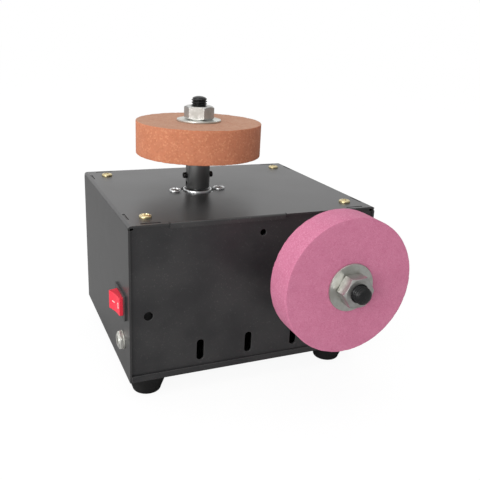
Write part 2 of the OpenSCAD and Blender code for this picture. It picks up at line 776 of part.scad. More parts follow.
module bearing_inner(z) {
    rotate_extrude() difference() {
        translate([shaft_d / 2 + fit_seat, z]) square([6.1 - shaft_d / 2 - fit_seat, bearing_w]);
        translate([ball_ring_d / 2, z + bearing_w / 2]) circle(ball_d / 2 + 0.05);
    }
}

module bearing_outers() color([0.72, 0.73, 0.75]) {
    bearing_outer(front_bearing_z);
    bearing_outer(rear_bearing_z);
}

module bearing_inners() color([0.72, 0.73, 0.75]) {
    bearing_inner(front_bearing_z);
    bearing_inner(rear_bearing_z);
}

module bearing_balls() color([0.8, 0.81, 0.83]) {
    for (z = [front_bearing_z, rear_bearing_z])
        for (i = [0 : 6])
            rotate([0, 0, i * 360 / 7]) translate([ball_ring_d / 2, 0, z + bearing_w / 2])
                sphere(d = ball_d);
}

module shaft() color([0.7, 0.71, 0.73]) {
    translate([0, 0, rear_bearing_z + 0.4]) cylinder(d = shaft_d, h = sleeve_z + arbor_bore - 1
        - rear_bearing_z);
}

module core() color([0.35, 0.35, 0.37]) {
    difference() {
        tube(core_d, shaft_d + 2 * fit_seat, core_z, core_z + core_l);
        for (i = [0 : core_slots - 1])
            rotate([0, 0, i * 360 / core_slots])
                slab(coil_slot_r - 0.1, core_d, -1.5, 1.5, core_z - 1, core_z + core_l + 1);
    }
}

module windings() color([0.7, 0.35, 0.12]) {
    rotate_extrude() {
        for (s = [-1, 1])
            translate([0, s < 0 ? core_z : core_z + core_l]) mirror([0, s < 0 ? 1 : 0])
                polygon([[coil_hub_r, 0], [coil_r, 0], [coil_r, coil_end_l - 3.4],
                    [coil_r - 2, coil_end_l - 1.2], [coil_hub_r + 2.5, coil_end_l - 1],
                    [coil_hub_r, coil_end_l - 3]]);
    }
    for (i = [0 : core_slots - 1])
        rotate([0, 0, i * 360 / core_slots])
            slab(coil_slot_r, coil_r, -1.4, 1.4, core_z - 0.5, core_z + core_l + 0.5);
}

module commutator() color([0.75, 0.42, 0.2]) {
    difference() {
        union() {
            hole(comm_d, comm_z, comm_z + comm_l);
            hole(comm_d + 3, comm_z + comm_l - 1.5, comm_z + comm_l);
        }
        hole(shaft_d + 2 * fit_seat, comm_z - 1, comm_z + comm_l + 1);
        for (i = [0 : core_slots - 1])
            rotate([0, 0, (i + 0.5) * 360 / core_slots])
                slab(comm_d / 2 - 1, comm_d, -0.25, 0.25, comm_z - 1, comm_z + comm_l + 1);
    }
}

module brushes() color([0.15, 0.15, 0.15]) {
    for (s = [0, 1])
        rotate([0, 0, 180 * s])
            slab(comm_d / 2 + fit_run, tag_r - 0.5, -brush_w / 2, brush_w / 2, brush_z - brush_t / 2,
                brush_z + brush_t / 2);
}

// Brass brush holder with its tag through the end bell
module brush_holders() color([0.8, 0.65, 0.3]) {
    for (s = [0, 1])
        rotate([0, 0, 180 * s]) {
            difference() {
                slab(comm_d / 2 + 1.6, tag_r + tag_t, -brush_w / 2 - 1, brush_w / 2 + 1, brush_z - 4.5,
                    brush_z + 4.5);
                slab(7, tag_r, -brush_w / 2 - 0.05, brush_w / 2 + 0.05,
                    brush_z - brush_t / 2 - 0.05, brush_z + brush_t / 2 + 0.05);
            }
            slab(tag_r, tag_r + tag_t, -tag_w / 2, tag_w / 2, tag_end, brush_z - 4.4);
        }
}

module motor_screws() color([0.82, 0.83, 0.84]) {
    for (s = [-1, 1])
        translate([s * motor_bolts / 2, 0, 0]) rotate([0, 0, 35 * s])
            screw(motor_screw_d, sheet + front_t + 0.3, motor_head_d, motor_head_h);
}

// ---------- arbor parts, in the motor's local frame ----------
module arbor(wheel_w) color([0.13, 0.13, 0.14]) {
    r = sleeve_d / 2;
    stud_end = wheel_z + wheel_w + washer_t + nut_h + stud_out;
    difference() {
        union() {
            rotate_extrude()
                polygon([[0, sleeve_z], [r - 0.5, sleeve_z], [r, sleeve_z + 0.5], [r, seat_z - 0.5],
                    [r - 0.5, seat_z], [0, seat_z]]);
            thread(stud_d, stud_pitch, seat_z - 0.01, stud_end, stud_crown);
        }
        hole(shaft_d + 2 * fit_seat, sleeve_z - 1, sleeve_z + arbor_bore);
        for (z = [set_up, set_down])
            translate([-sleeve_d, 0, z]) rotate([0, 90, 0])
                cylinder(d = set_screw_d + 2 * fit_seat, h = 2 * sleeve_d);
    }
}

// Socket set screw pointing in along -x, its tip on the shaft
module set_screw(z, r_end) {
    r_tip = shaft_d / 2 + fit_seat;
    translate([0, 0, z]) rotate([0, 90, 0]) difference() {
        rotate_extrude()
            polygon([[0, r_tip], [set_screw_d / 2 - 0.8, r_tip], [set_screw_d / 2, r_tip + 0.8],
                [set_screw_d / 2, r_end - 0.4], [set_screw_d / 2 - 0.4, r_end], [0, r_end]]);
        translate([0, 0, r_end - 2.4]) cylinder(d = 2.5 / cos(30), h = 3, $fn = 6);
    }
}

module set_screws() color([0.2, 0.2, 0.21]) {
    for (s = [0, 1])
        rotate([0, 0, 180 * s]) {
            set_screw(set_up, sleeve_d / 2 + set_out);
            set_screw(set_down, sleeve_d / 2 - 0.2);
        }
}

module clamp_washer(z) color([0.82, 0.83, 0.84]) {
    r = washer_d / 2;
    bore_r = stud_d / 2 + fit_hole;
    rotate_extrude()
        polygon([[bore_r, z], [r - 0.3, z], [r, z + 0.3], [r, z + washer_t - 0.3],
            [r - 0.3, z + washer_t], [bore_r, z + washer_t]]);
}

module wheel(w) {
    r = wheel_d / 2;
    e = wheel_edge;
    bore_r = stud_d / 2 + fit_run;
    rotate_extrude()
        polygon([[bore_r, wheel_z], [r - e, wheel_z], [r, wheel_z + e], [r, wheel_z + w - e],
            [r - e, wheel_z + w], [bore_r, wheel_z + w]]);
}

module nut(wheel_w, turn) color([0.8, 0.81, 0.82]) {
    z = wheel_z + wheel_w + washer_t;
    rotate([0, 0, turn]) difference() {
        hex_body(nut_af, z, z + nut_h);
        hole(stud_d + 2 * fit_seat, z - 1, z + nut_h + 1);
        for (s = [0, 1])
            translate([0, 0, s == 0 ? z - 1 : z + nut_h - 0.8])
                cylinder(d1 = stud_d + (s == 0 ? 3.6 : 0), d2 = stud_d + (s == 0 ? 0 : 3.6), h = 1.8);
    }
}

// ---------- upright motor and wheel ----------
module upright_motor_can() at_upright() motor_can();
module upright_end_bell() at_upright() end_bell();
module upright_magnets() at_upright() magnets();
module upright_bearing_outers() at_upright() bearing_outers();
module upright_bearing_balls() at_upright() bearing_balls();
module upright_bearing_inners() at_upright() bearing_inners();
module upright_shaft() at_upright() shaft();
module upright_core() at_upright() core();
module upright_windings() at_upright() windings();
module upright_commutator() at_upright() commutator();
module upright_brushes() at_upright() brushes();
module upright_brush_holders() at_upright() brush_holders();
module upright_motor_screws() at_upright() motor_screws();
module upright_arbor() at_upright() arbor(upright_wheel_w);
module upright_set_screws() at_upright() set_screws();
module upright_inner_washer() at_upright() clamp_washer(seat_z);
module upright_wheel() color([0.8, 0.48, 0.34]) at_upright() wheel(upright_wheel_w);
module upright_outer_washer() at_upright() clamp_washer(wheel_z + upright_wheel_w);
module upright_nut() at_upright() nut(upright_wheel_w, tilt_turn);

// ---------- side motor and wheel ----------
module side_motor_can() at_side() motor_can();
module side_end_bell() at_side() end_bell();
module side_magnets() at_side() magnets();
module side_bearing_outers() at_side() bearing_outers();
module side_bearing_balls() at_side() bearing_balls();
module side_bearing_inners() at_side() bearing_inners();
module side_shaft() at_side() shaft();
module side_core() at_side() core();
module side_windings() at_side() windings();
module side_commutator() at_side() commutator();
module side_brushes() at_side() brushes();
module side_brush_holders() at_side() brush_holders();
module side_motor_screws() at_side() motor_screws();
module side_arbor() at_side_arbor() arbor(side_wheel_w);
module side_set_screws() at_side_arbor() set_screws();
module side_inner_washer() at_side_arbor() clamp_washer(seat_z);
module side_wheel() color([0.9, 0.5, 0.65]) at_side_arbor() wheel(side_wheel_w);
module side_outer_washer() at_side_arbor() clamp_washer(wheel_z + side_wheel_w);
module side_nut() at_side_arbor() nut(side_wheel_w, side_turn);

// ---------- wires ----------
module red_wires() color([0.75, 0.05, 0.05]) {
    wire(red_feed);
    wire(red_upright);
    wire(red_side);
}

module black_wires() color([0.05, 0.05, 0.05]) {
    wire(black_upright);
    wire(black_side);
}

cover();
front_panel();
rear_panel();
base_tray();
corner_brackets();
cover_screws();
rubber_feet();
foot_screws();
foot_nuts();
switch_housing();
switch_rocker();
switch_plunger();
switch_contact();
switch_terminals();
inlet_body();
inlet_nut();
inlet_washer();
inlet_contacts();
upright_motor_can();
upright_end_bell();
upright_magnets();
upright_bearing_outers();
upright_bearing_balls();
upright_bearing_inners();
upright_shaft();
upright_core();
upright_windings();
upright_commutator();
upright_brushes();
upright_brush_holders();
upright_motor_screws();
upright_arbor();
upright_set_screws();
upright_inner_washer();
upright_wheel();
upright_outer_washer();
upright_nut();
side_motor_can();
side_end_bell();
side_magnets();
side_bearing_outers();
side_bearing_balls();
side_bearing_inners();
side_shaft();
side_core();
side_windings();
side_commutator();
side_brushes();
side_brush_holders();
side_motor_screws();
side_arbor();
side_set_screws();
side_inner_washer();
side_wheel();
side_outer_washer();
side_nut();
red_wires();
black_wires();
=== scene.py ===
"""Two-wheel bench grinding sharpener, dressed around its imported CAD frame."""
import json
import math

import bmesh
import bpy
import numpy as np
from mathutils import Matrix, Vector


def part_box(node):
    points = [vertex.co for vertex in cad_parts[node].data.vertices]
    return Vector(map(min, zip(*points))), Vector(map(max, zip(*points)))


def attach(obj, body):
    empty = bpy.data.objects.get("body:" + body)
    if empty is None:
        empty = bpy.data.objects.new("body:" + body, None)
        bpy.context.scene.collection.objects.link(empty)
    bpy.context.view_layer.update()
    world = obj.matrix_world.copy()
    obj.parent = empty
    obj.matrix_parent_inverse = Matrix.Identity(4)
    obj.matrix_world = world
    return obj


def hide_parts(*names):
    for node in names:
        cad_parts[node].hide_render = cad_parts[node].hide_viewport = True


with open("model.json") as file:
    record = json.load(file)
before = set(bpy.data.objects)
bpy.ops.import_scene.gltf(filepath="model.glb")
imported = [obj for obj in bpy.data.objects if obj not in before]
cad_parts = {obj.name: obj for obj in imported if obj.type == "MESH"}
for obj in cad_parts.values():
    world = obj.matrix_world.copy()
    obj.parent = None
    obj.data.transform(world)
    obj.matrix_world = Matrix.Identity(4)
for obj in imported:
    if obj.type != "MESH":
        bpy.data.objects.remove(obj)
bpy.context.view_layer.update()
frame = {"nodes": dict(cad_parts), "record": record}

# ---------------------------------------------------------------- camera, lamps and floor
# The sharpener stands on a plain white table in soft daylight from a wide window on its left.
# The camera looks down on its front left corner. The floor keeps a faint shadow.
EYE = Vector((-0.18818, -0.44358, 0.26761))
YAW, PITCH, ROLL = (math.radians(turn) for turn in (23.85, 18.76, 2.62))
LENS_MM = 46.63

ahead = Vector((math.sin(YAW) * math.cos(PITCH), math.cos(YAW) * math.cos(PITCH), -math.sin(PITCH)))
level = Vector((math.cos(YAW), -math.sin(YAW), 0.0))
above = level.cross(ahead)
right = level * math.cos(ROLL) + above * math.sin(ROLL)
upward = above * math.cos(ROLL) - level * math.sin(ROLL)
camera_data = bpy.data.cameras.new("camera")
camera_data.lens = LENS_MM
camera_data.sensor_width = 36.0
camera_data.clip_start = 0.01
camera = bpy.data.objects.new("camera", camera_data)
camera.matrix_world = Matrix(
    ((right.x, upward.x, -ahead.x, EYE.x), (right.y, upward.y, -ahead.y, EYE.y),
     (right.z, upward.z, -ahead.z, EYE.z), (0, 0, 0, 1)))
bpy.context.scene.collection.objects.link(camera)
bpy.context.scene.camera = camera
bpy.context.scene.view_settings.view_transform = "Standard"


def window(name, place, aim, width, height, watts, tint):
    data = bpy.data.lights.new(name, "AREA")
    data.shape, data.size, data.size_y = "RECTANGLE", width, height
    data.energy, data.color = watts, tint
    lamp = bpy.data.objects.new(name, data)
    lamp.location = place
    lamp.rotation_mode = "QUATERNION"
    lamp.rotation_quaternion = (Vector(aim) - Vector(place)).to_track_quat("-Z", "Y")
    bpy.context.scene.collection.objects.link(lamp)


window("left_window", (-1.12, -1.02, 0.55), (0.02, 0.0, 0.12), 0.55, 0.9, 8.6, (1.0, 0.99, 0.97))
window("left_strip", (-1.229, -0.423, 0.27), (0.0, 0.0, 0.14), 0.12, 0.5, 2.6, (1.0, 0.99, 0.97))
window("ceiling", (-0.25, 0.10, 1.70), (0.0, 0.0, 0.1), 1.4, 1.4, 5.0, (1.0, 1.0, 1.0))


def add(tree, kind, links=None, **settings):
    """Adds a node: settings are its properties, links its inputs by name or index."""
    node = tree.nodes.new(kind)
    for key, value in settings.items():
        setattr(node, key, value)
    for key, value in (links or {}).items():
        if isinstance(value, bpy.types.NodeSocket):
            tree.links.new(value, node.inputs[key])
        else:
            node.inputs[key].default_value = value
    return node


def maths(tree, operation, a, b=0.0):
    return add(tree, "ShaderNodeMath", {0: a, 1: b}, operation=operation).outputs[0]


def ranged(tree, value, low, high, to_low, to_high):
    return add(tree, "ShaderNodeMapRange",
               {"Value": value, "From Min": low, "From Max": high, "To Min": to_low, "To Max": to_high},
               interpolation_type="SMOOTHSTEP").outputs["Result"]


# The room is brightest behind the sharpener and to its left, and plain white where the camera sees it.
ROOM_GREY, BACKDROP = 0.36, 1.0
BRIGHT_SIDE = Vector((-0.65, 0.58, 0.48)).normalized()
world = bpy.data.worlds.new("studio")
bpy.context.scene.world = world
world.use_nodes = True
tree = world.node_tree
tree.nodes.clear()
sky = add(tree, "ShaderNodeTexCoord").outputs["Generated"]
facing = add(tree, "ShaderNodeVectorMath", {0: sky, 1: BRIGHT_SIDE}, operation="DOT_PRODUCT")
room = ranged(tree, facing.outputs["Value"], -0.55, 0.45, ROOM_GREY, BACKDROP)
rays = add(tree, "ShaderNodeLightPath")
seen = add(tree, "ShaderNodeMix", {"Factor": rays.outputs["Is Camera Ray"], "A": room, "B": 1.0},
           data_type="FLOAT")
backdrop = add(tree, "ShaderNodeBackground", {"Color": (1, 1, 1, 1), "Strength": seen.outputs["Result"]})
add(tree, "ShaderNodeOutputWorld", {"Surface": backdrop.outputs[0]})


def node_material(name):
    made = bpy.data.materials.new(name)
    made.use_nodes = True
    made.node_tree.nodes.clear()
    return made, made.node_tree


# The table glows a little for the camera, so that it ends up white, and is dimmer in reflections.
FLOOR_HALF, GLOW, MIRRORED = 6.0, 0.90, 0.54
floor_mesh = bpy.data.meshes.new("floor")
floor_mesh.from_pydata([(-FLOOR_HALF, -FLOOR_HALF, 0), (FLOOR_HALF, -FLOOR_HALF, 0),
                        (FLOOR_HALF, FLOOR_HALF, 0), (-FLOOR_HALF, FLOOR_HALF, 0)], [], [(0, 1, 2, 3)])
floor = bpy.data.objects.new("floor", floor_mesh)
bpy.context.scene.collection.objects.link(floor)
table_top, tree = node_material("white_table")
rays = add(tree, "ShaderNodeLightPath").outputs
shown = maths(tree, "MAXIMUM", rays["Is Camera Ray"], rays["Is Transmission Ray"])
matt = add(tree, "ShaderNodeBsdfDiffuse", {"Color": (0.86, 0.86, 0.86, 1)})
white = add(tree, "ShaderNodeEmission", {"Color": (1, 1, 1, 1), "Strength": 1.03})
dark = add(tree, "ShaderNodeBsdfDiffuse", {"Color": (0.02, 0.02, 0.02, 1)})
blend = add(tree, "ShaderNodeMixShader",
            {0: maths(tree, "MULTIPLY", shown, GLOW), 1: matt.outputs[0], 2: white.outputs[0]})
reflected = add(tree, "ShaderNodeMixShader",
                {0: maths(tree, "MULTIPLY", rays["Is Glossy Ray"], MIRRORED), 1: blend.outputs[0],
                 2: dark.outputs[0]})
add(tree, "ShaderNodeOutputMaterial", {"Surface": reflected.outputs[0]})
floor_mesh.materials.append(table_top)

# ---------------------------------------------------------------- folded cover
# One steel sheet folded to a top and two side walls, with a short lip over the front edge.
# It is finished in satin black paint, a lighter black on the rounded cut edges, and held by the corner
# screws.
MM = 0.001


def socket_of(kind):
    return {"c": "NodeSocketColor", "f": "NodeSocketFloat", "v": "NodeSocketVector"}[kind]


def shader_group(name, inputs, outputs):
    """Empty shader node group with named sockets: inputs are (name, kind, default)."""
    group = bpy.data.node_groups.new(name, "ShaderNodeTree")
    for label, kind, default in inputs:
        made = group.interface.new_socket(name=label, in_out="INPUT", socket_type=socket_of(kind))
        if default is not None:
            made.default_value = default
    for label, kind in outputs:
        group.interface.new_socket(name=label, in_out="OUTPUT", socket_type=socket_of(kind))
    return group, group.nodes.new("NodeGroupInput"), group.nodes.new("NodeGroupOutput")


def noise_at(tree, vector, scale, detail=3.0, rough=0.5):
    return add(tree, "ShaderNodeTexNoise",
               {"Vector": vector, "Scale": scale, "Detail": detail, "Roughness": rough}).outputs["Fac"]


def mixed(tree, factor, a, b):
    return add(tree, "ShaderNodeMix", {"Factor": factor, 6: a, 7: b}, data_type="RGBA").outputs[2]


# Sprayed film: cloudy tone, orange peel and specks of settled dust
paint_film, inlet, outlet = shader_group(
    "paint_film",
    [("Vector", "v", None), ("Paint", "c", (0.05, 0.05, 0.05, 1)), ("Dust", "c", (0.2, 0.2, 0.2, 1)),
     ("Dust amount", "f", 0.1), ("Roughness", "f", 0.35), ("Spread", "f", 0.08), ("Peel", "f", 1.0)],
    [("Colour", "c"), ("Roughness", "f"), ("Height", "f")])
cloud = noise_at(paint_film, inlet.outputs["Vector"], 26.0, 4.0)
speck = noise_at(paint_film, inlet.outputs["Vector"], 900.0, 2.0, 0.6)
peel = noise_at(paint_film, inlet.outputs["Vector"], 420.0, 2.0)
dust = maths(paint_film, "MULTIPLY", ranged(paint_film, speck, 0.60, 0.76, 0.0, 1.0),
             ranged(paint_film, cloud, 0.35, 0.65, 0.35, 1.0))
dusty = maths(paint_film, "MULTIPLY", dust, inlet.outputs["Dust amount"])
toned = mixed(paint_film, ranged(paint_film, cloud, 0.3, 0.7, 0.0, 0.05),
              inlet.outputs["Paint"], inlet.outputs["Dust"])
paint_film.links.new(mixed(paint_film, dusty, toned, inlet.outputs["Dust"]), outlet.inputs["Colour"])
uneven = maths(paint_film, "MULTIPLY", maths(paint_film, "SUBTRACT", cloud, 0.5), inlet.outputs["Spread"])
paint_film.links.new(
    maths(paint_film, "ADD", maths(paint_film, "ADD", inlet.outputs["Roughness"], uneven),
          maths(paint_film, "MULTIPLY", dusty, 0.3)), outlet.inputs["Roughness"])
paint_film.links.new(
    maths(paint_film, "ADD", maths(paint_film, "MULTIPLY", peel, inlet.outputs["Peel"]),
          maths(paint_film, "MULTIPLY", dusty, 0.6)), outlet.inputs["Height"])


def finish_of(name, group, values, bump=0.2, bump_mm=0.05, metallic=0.0, **shader):
    """Material on Object coordinates: the group's colour, roughness and height feed one shader."""
    made, tree = node_material(name)
    where = add(tree, "ShaderNodeTexCoord").outputs["Object"]
    skin = add(tree, "ShaderNodeGroup", node_tree=group)
    tree.links.new(where, skin.inputs["Vector"])
    for key, value in values.items():
        skin.inputs[key].default_value = (*value, 1.0) if isinstance(value, tuple) else value
    relief = add(tree, "ShaderNodeBump",
                 {"Strength": bump, "Distance": bump_mm * MM, "Height": skin.outputs["Height"]})
    surface = add(tree, "ShaderNodeBsdfPrincipled",
                  {"Base Color": skin.outputs["Colour"], "Roughness": skin.outputs["Roughness"],
                   "Metallic": metallic, "Normal": relief.outputs[0]})
    for key, value in shader.items():
        surface.inputs[key.replace("_", " ")].default_value = value
    end = add(tree, "ShaderNodeOutputMaterial")
    tree.links.new(surface.outputs[0], end.inputs["Surface"])
    return made


body_of = {node: body for body, nodes in frame["record"]["behaviour"]["bodies"].items() for node in nodes}


def wear(material, *nodes):
    """Gives CAD nodes that stay in view their finish."""
    for node in nodes:
        mesh = frame["nodes"][node].data
        mesh.materials.clear()
        mesh.materials.append(material)


def put_in(name, mesh, node, *materials):
    """Links a finished mesh as the piece that stands for a CAD node; its faces keep their material index."""
    while len(mesh.materials) < len(materials):
        mesh.materials.append(None)
    for index, material in enumerate(materials):
        mesh.materials[index] = material
    piece = bpy.data.objects.new(name, mesh)
    bpy.context.scene.collection.objects.link(piece)
    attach(piece, body_of[node])
    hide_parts(node)
    return piece


def joined_copy(node):
    """A CAD node's mesh with its triangles joined into one closed skin of flat faces."""
    shell = bmesh.new()
    shell.from_mesh(frame["nodes"][node].data)
    bmesh.ops.remove_doubles(shell, verts=shell.verts, dist=1e-6)
    bmesh.ops.dissolve_limit(shell, angle_limit=math.radians(0.4), verts=shell.verts, edges=shell.edges)
    return shell


def baked(mesh, name, modify, smooth_deg=None):
    """Runs modifiers on a mesh through a passing object and returns the plain result."""
    passing = bpy.data.objects.new(name, mesh)
    bpy.context.scene.collection.objects.link(passing)
    modify(passing)
    graph = bpy.context.evaluated_depsgraph_get()
    result = bpy.data.meshes.new_from_object(passing.evaluated_get(graph))
    bpy.data.objects.remove(passing)
    result.name = name
    if smooth_deg:
        result.shade_smooth()
        result.set_sharp_from_angle(angle=math.radians(smooth_deg))
    return result


def eased(node, name, edge_mm, segments=2, angle_deg=40.0, edge_slot=0):
    """A CAD node's skin with its sharp edges rounded."""
    shell = joined_copy(node)
    mesh = bpy.data.meshes.new(name)
    shell.to_mesh(mesh)
    shell.free()
    mesh.shade_smooth()

    def modify(passing):
        bevel = passing.modifiers.new("edge", "BEVEL")
        bevel.width = edge_mm * MM
        bevel.segments = segments
        bevel.limit_method = "ANGLE"
        bevel.angle_limit = math.radians(angle_deg)
        bevel.material = edge_slot
        bevel.use_clamp_overlap = True
        flat = passing.modifiers.new("flat_faces", "WEIGHTED_NORMAL")
        flat.weight = 100

    if edge_slot:
        for _ in range(edge_slot + 1):
            mesh.materials.append(None)
    return baked(mesh, name, modify)


SATIN_BLACK = (0.026, 0.026, 0.027)
LIGHTER_EDGE = (0.07, 0.07, 0.07)
DUST = (0.30, 0.29, 0.28)
cover_paint = finish_of(
    "cover_satin_black", paint_film,
    {"Paint": SATIN_BLACK, "Dust": DUST, "Dust amount": 0.22, "Roughness": 0.33, "Spread": 0.12, "Peel": 1.0},
    bump=0.12, bump_mm=0.06)
edge_paint = finish_of(
    "cut_edge_black", paint_film,
    {"Paint": LIGHTER_EDGE, "Dust": DUST, "Dust amount": 0.4, "Roughness": 0.38, "Spread": 0.2, "Peel": 1.0},
    bump=0.2, bump_mm=0.05)
put_in("folded_cover", eased("cover", "folded_cover", 0.28, edge_slot=1), "cover", cover_paint, edge_paint)

# ---------------------------------------------------------------- front and rear panels, tray, brackets
# Flat punched steel panels close the front and back, and a folded tray closes the bottom.
# They are sprayed in satin black, set darker than the cover's as painted shade on the front face, and four
# folded brackets tie them under the top.
PANEL_BLACK_SHADED = (0.018, 0.018, 0.0195)
shaded_panel_paint = finish_of(
    "panel_black_painted_shade", paint_film,
    {"Paint": PANEL_BLACK_SHADED, "Dust": DUST, "Dust amount": 0.16, "Roughness": 0.42, "Spread": 0.12, "Peel": 1.0},
    bump=0.14, bump_mm=0.06)
for node in ("front_panel", "rear_panel", "base_tray", "corner_brackets"):
    put_in(f"{node}_sheet", eased(node, f"{node}_sheet", 0.2, edge_slot=1), node, shaded_panel_paint, edge_paint)

# ---------------------------------------------------------------- zinc-plated cover and motor screws
# Pressed steel screws with a low round head and a cross recess.
# The cover's four are yellow zinc, seated at the corners; the motors' pairs are bright zinc.
zinc_skin, inlet, outlet = shader_group(
    "zinc_skin",
    [("Vector", "v", None), ("Metal", "c", (0.7, 0.7, 0.7, 1)), ("Stain", "c", (0.3, 0.3, 0.3, 1)),
     ("Stain amount", "f", 0.3), ("Roughness", "f", 0.3), ("Spread", "f", 0.2), ("Grain", "f", 600.0)],
    [("Colour", "c"), ("Roughness", "f"), ("Height", "f")])
blotch = noise_at(zinc_skin, inlet.outputs["Vector"], 120.0, 4.0, 0.6)
fine = noise_at(zinc_skin, inlet.outputs["Vector"], inlet.outputs["Grain"], 3.0, 0.6)
stained = maths(zinc_skin, "MULTIPLY", ranged(zinc_skin, blotch, 0.40, 0.68, 0.0, 1.0),
                inlet.outputs["Stain amount"])
zinc_skin.links.new(mixed(zinc_skin, stained, inlet.outputs["Metal"], inlet.outputs["Stain"]),
                    outlet.inputs["Colour"])
uneven = maths(zinc_skin, "MULTIPLY", maths(zinc_skin, "SUBTRACT", fine, 0.5), inlet.outputs["Spread"])
zinc_skin.links.new(
    maths(zinc_skin, "ADD", maths(zinc_skin, "ADD", inlet.outputs["Roughness"], uneven),
          maths(zinc_skin, "MULTIPLY", stained, 0.25)), outlet.inputs["Roughness"])
zinc_skin.links.new(fine, outlet.inputs["Height"])

yellow_zinc = finish_of(
    "yellow_zinc_plate", zinc_skin,
    {"Metal": (0.70, 0.60, 0.36), "Stain": (0.42, 0.33, 0.14), "Stain amount": 0.45, "Roughness": 0.30,
     "Spread": 0.2, "Grain": 900.0}, bump=0.15, bump_mm=0.03, metallic=1.0)
bright_zinc = finish_of(
    "bright_zinc_plate", zinc_skin,
    {"Metal": (0.80, 0.81, 0.82), "Stain": (0.50, 0.50, 0.50), "Stain amount": 0.3, "Roughness": 0.36,
     "Spread": 0.15, "Grain": 900.0}, bump=0.05, bump_mm=0.02, metallic=1.0)


def cross_head(name, head_d, head_h, thread_d, length, recess_l, recess_w, recess_deep):
    """Screw seated at z = 0: a domed head with a tapering cross recess over a plain shank."""
    around, rings = 96, 26
    radius = head_d / 2
    points, faces = [], []

    def top_at(x, y):
        far = math.hypot(x, y) / radius
        dome = head_h * (0.42 + 0.58 * math.sqrt(max(0.0, 1 - far ** 2.6)))
        along, across = max(abs(x), abs(y)), min(abs(x), abs(y))
        sink = (min(1.0, max(0.0, (recess_l / 2 - along) / 0.35))
                * min(1.0, max(0.0, (recess_w / 2 - across) / 0.16)))
        return dome - recess_deep * sink * (1 - 0.35 * along / (recess_l / 2))

    points.append((0, 0, top_at(0, 0)))
    for ring in range(1, rings + 1):
        r = radius * (ring / rings) ** 0.85
        for step in range(around):
            turn = 2 * math.pi * step / around
            x, y = r * math.cos(turn), r * math.sin(turn)
            points.append((x, y, top_at(x, y)))
    for r, z in ((radius, 0.12), (radius - 0.12, 0.0), (thread_d / 2, 0.0), (thread_d / 2, -length)):
        for step in range(around):
            turn = 2 * math.pi * step / around
            points.append((r * math.cos(turn), r * math.sin(turn), z))
    points.append((0, 0, -length))
    for step in range(around):
        faces.append((0, 1 + step, 1 + (step + 1) % around))
    for ring in range(rings + 3):
        a, b = 1 + ring * around, 1 + (ring + 1) * around
        for step in range(around):
            after = (step + 1) % around
            faces.append((a + step, b + step, b + after, a + after))
    last = 1 + (rings + 3) * around
    for step in range(around):
        faces.append((last + step, len(points) - 1, last + (step + 1) % around))
    mesh = bpy.data.meshes.new(name)
    mesh.from_pydata([Vector(p) * MM for p in points], [], faces)
    mesh.shade_smooth()
    mesh.set_sharp_from_angle(angle=math.radians(38))
    return mesh


def driven(name, head_mesh, seats, material, seed, spread_deg):
    """Geometry Nodes: one screw at each seat, each driven to its own angle, realised as one mesh."""
    original = bpy.data.objects.new(name + "_pattern", head_mesh)
    bpy.context.scene.collection.objects.link(original)
    points = bpy.data.meshes.new(name)
    points.from_pydata([tuple(seat) for seat in seats], [], [])
    group = bpy.data.node_groups.new(name + "_rows", "GeometryNodeTree")
    sockets = {}
    for label, kind in (("Geometry", "NodeSocketGeometry"), ("Screw", "NodeSocketObject"),
                        ("Seed", "NodeSocketInt"), ("Spread", "NodeSocketFloat"),
                        ("Finish", "NodeSocketMaterial")):
        sockets[label] = group.interface.new_socket(name=label, in_out="INPUT", socket_type=kind).identifier
    group.interface.new_socket(name="Geometry", in_out="OUTPUT", socket_type="NodeSocketGeometry")
    start, end = group.nodes.new("NodeGroupInput"), group.nodes.new("NodeGroupOutput")
    seat_points = add(group, "GeometryNodeMeshToPoints", {"Mesh": start.outputs["Geometry"]})
    screw = add(group, "GeometryNodeObjectInfo", {"Object": start.outputs["Screw"]})
    angle = add(group, "FunctionNodeRandomValue",
                {2: 0.0, 3: start.outputs["Spread"], "Seed": start.outputs["Seed"]}, data_type="FLOAT")
    turn = add(group, "ShaderNodeCombineXYZ", {"Z": angle.outputs[1]})
    placed = add(group, "GeometryNodeInstanceOnPoints",
                 {"Points": seat_points.outputs[0], "Instance": screw.outputs["Geometry"],
                  "Rotation": turn.outputs[0]})
    real = add(group, "GeometryNodeRealizeInstances", {"Geometry": placed.outputs[0]})
    dressed = add(group, "GeometryNodeSetMaterial",
                  {"Geometry": real.outputs[0], "Material": start.outputs["Finish"]})
    group.links.new(dressed.outputs[0], end.inputs["Geometry"])

    def modify(passing):
        rows = passing.modifiers.new("rows", "NODES")
        rows.node_group = group
        rows[sockets["Screw"]] = original
        rows[sockets["Seed"]] = seed
        rows[sockets["Spread"]] = math.radians(spread_deg)
        rows[sockets["Finish"]] = material

    made = baked(points, name, modify, 38.0)
    bpy.data.objects.remove(original)
    return made


# The seats are read back from the boxes of the CAD screws, whose heads have these diameters.
COVER_HEAD_D, MOTOR_HEAD_D, MOTOR_SCREW_L = 9.2, 9.6, 4.3
TOP_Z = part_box("cover")[1].z
cover_screw = cross_head("cover_screw", head_d=COVER_HEAD_D, head_h=2.2, thread_d=4.0, length=8.0,
                         recess_l=5.4, recess_w=1.25, recess_deep=1.5)
low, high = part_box("cover_screws")
inset = COVER_HEAD_D / 2 * MM
corners = [(x, y, TOP_Z) for x in (low.x + inset, high.x - inset) for y in (low.y + inset, high.y - inset)]
put_in("corner_screws", driven("corner_screws", cover_screw, corners, yellow_zinc, seed=4, spread_deg=90.0),
       "cover_screws", yellow_zinc)

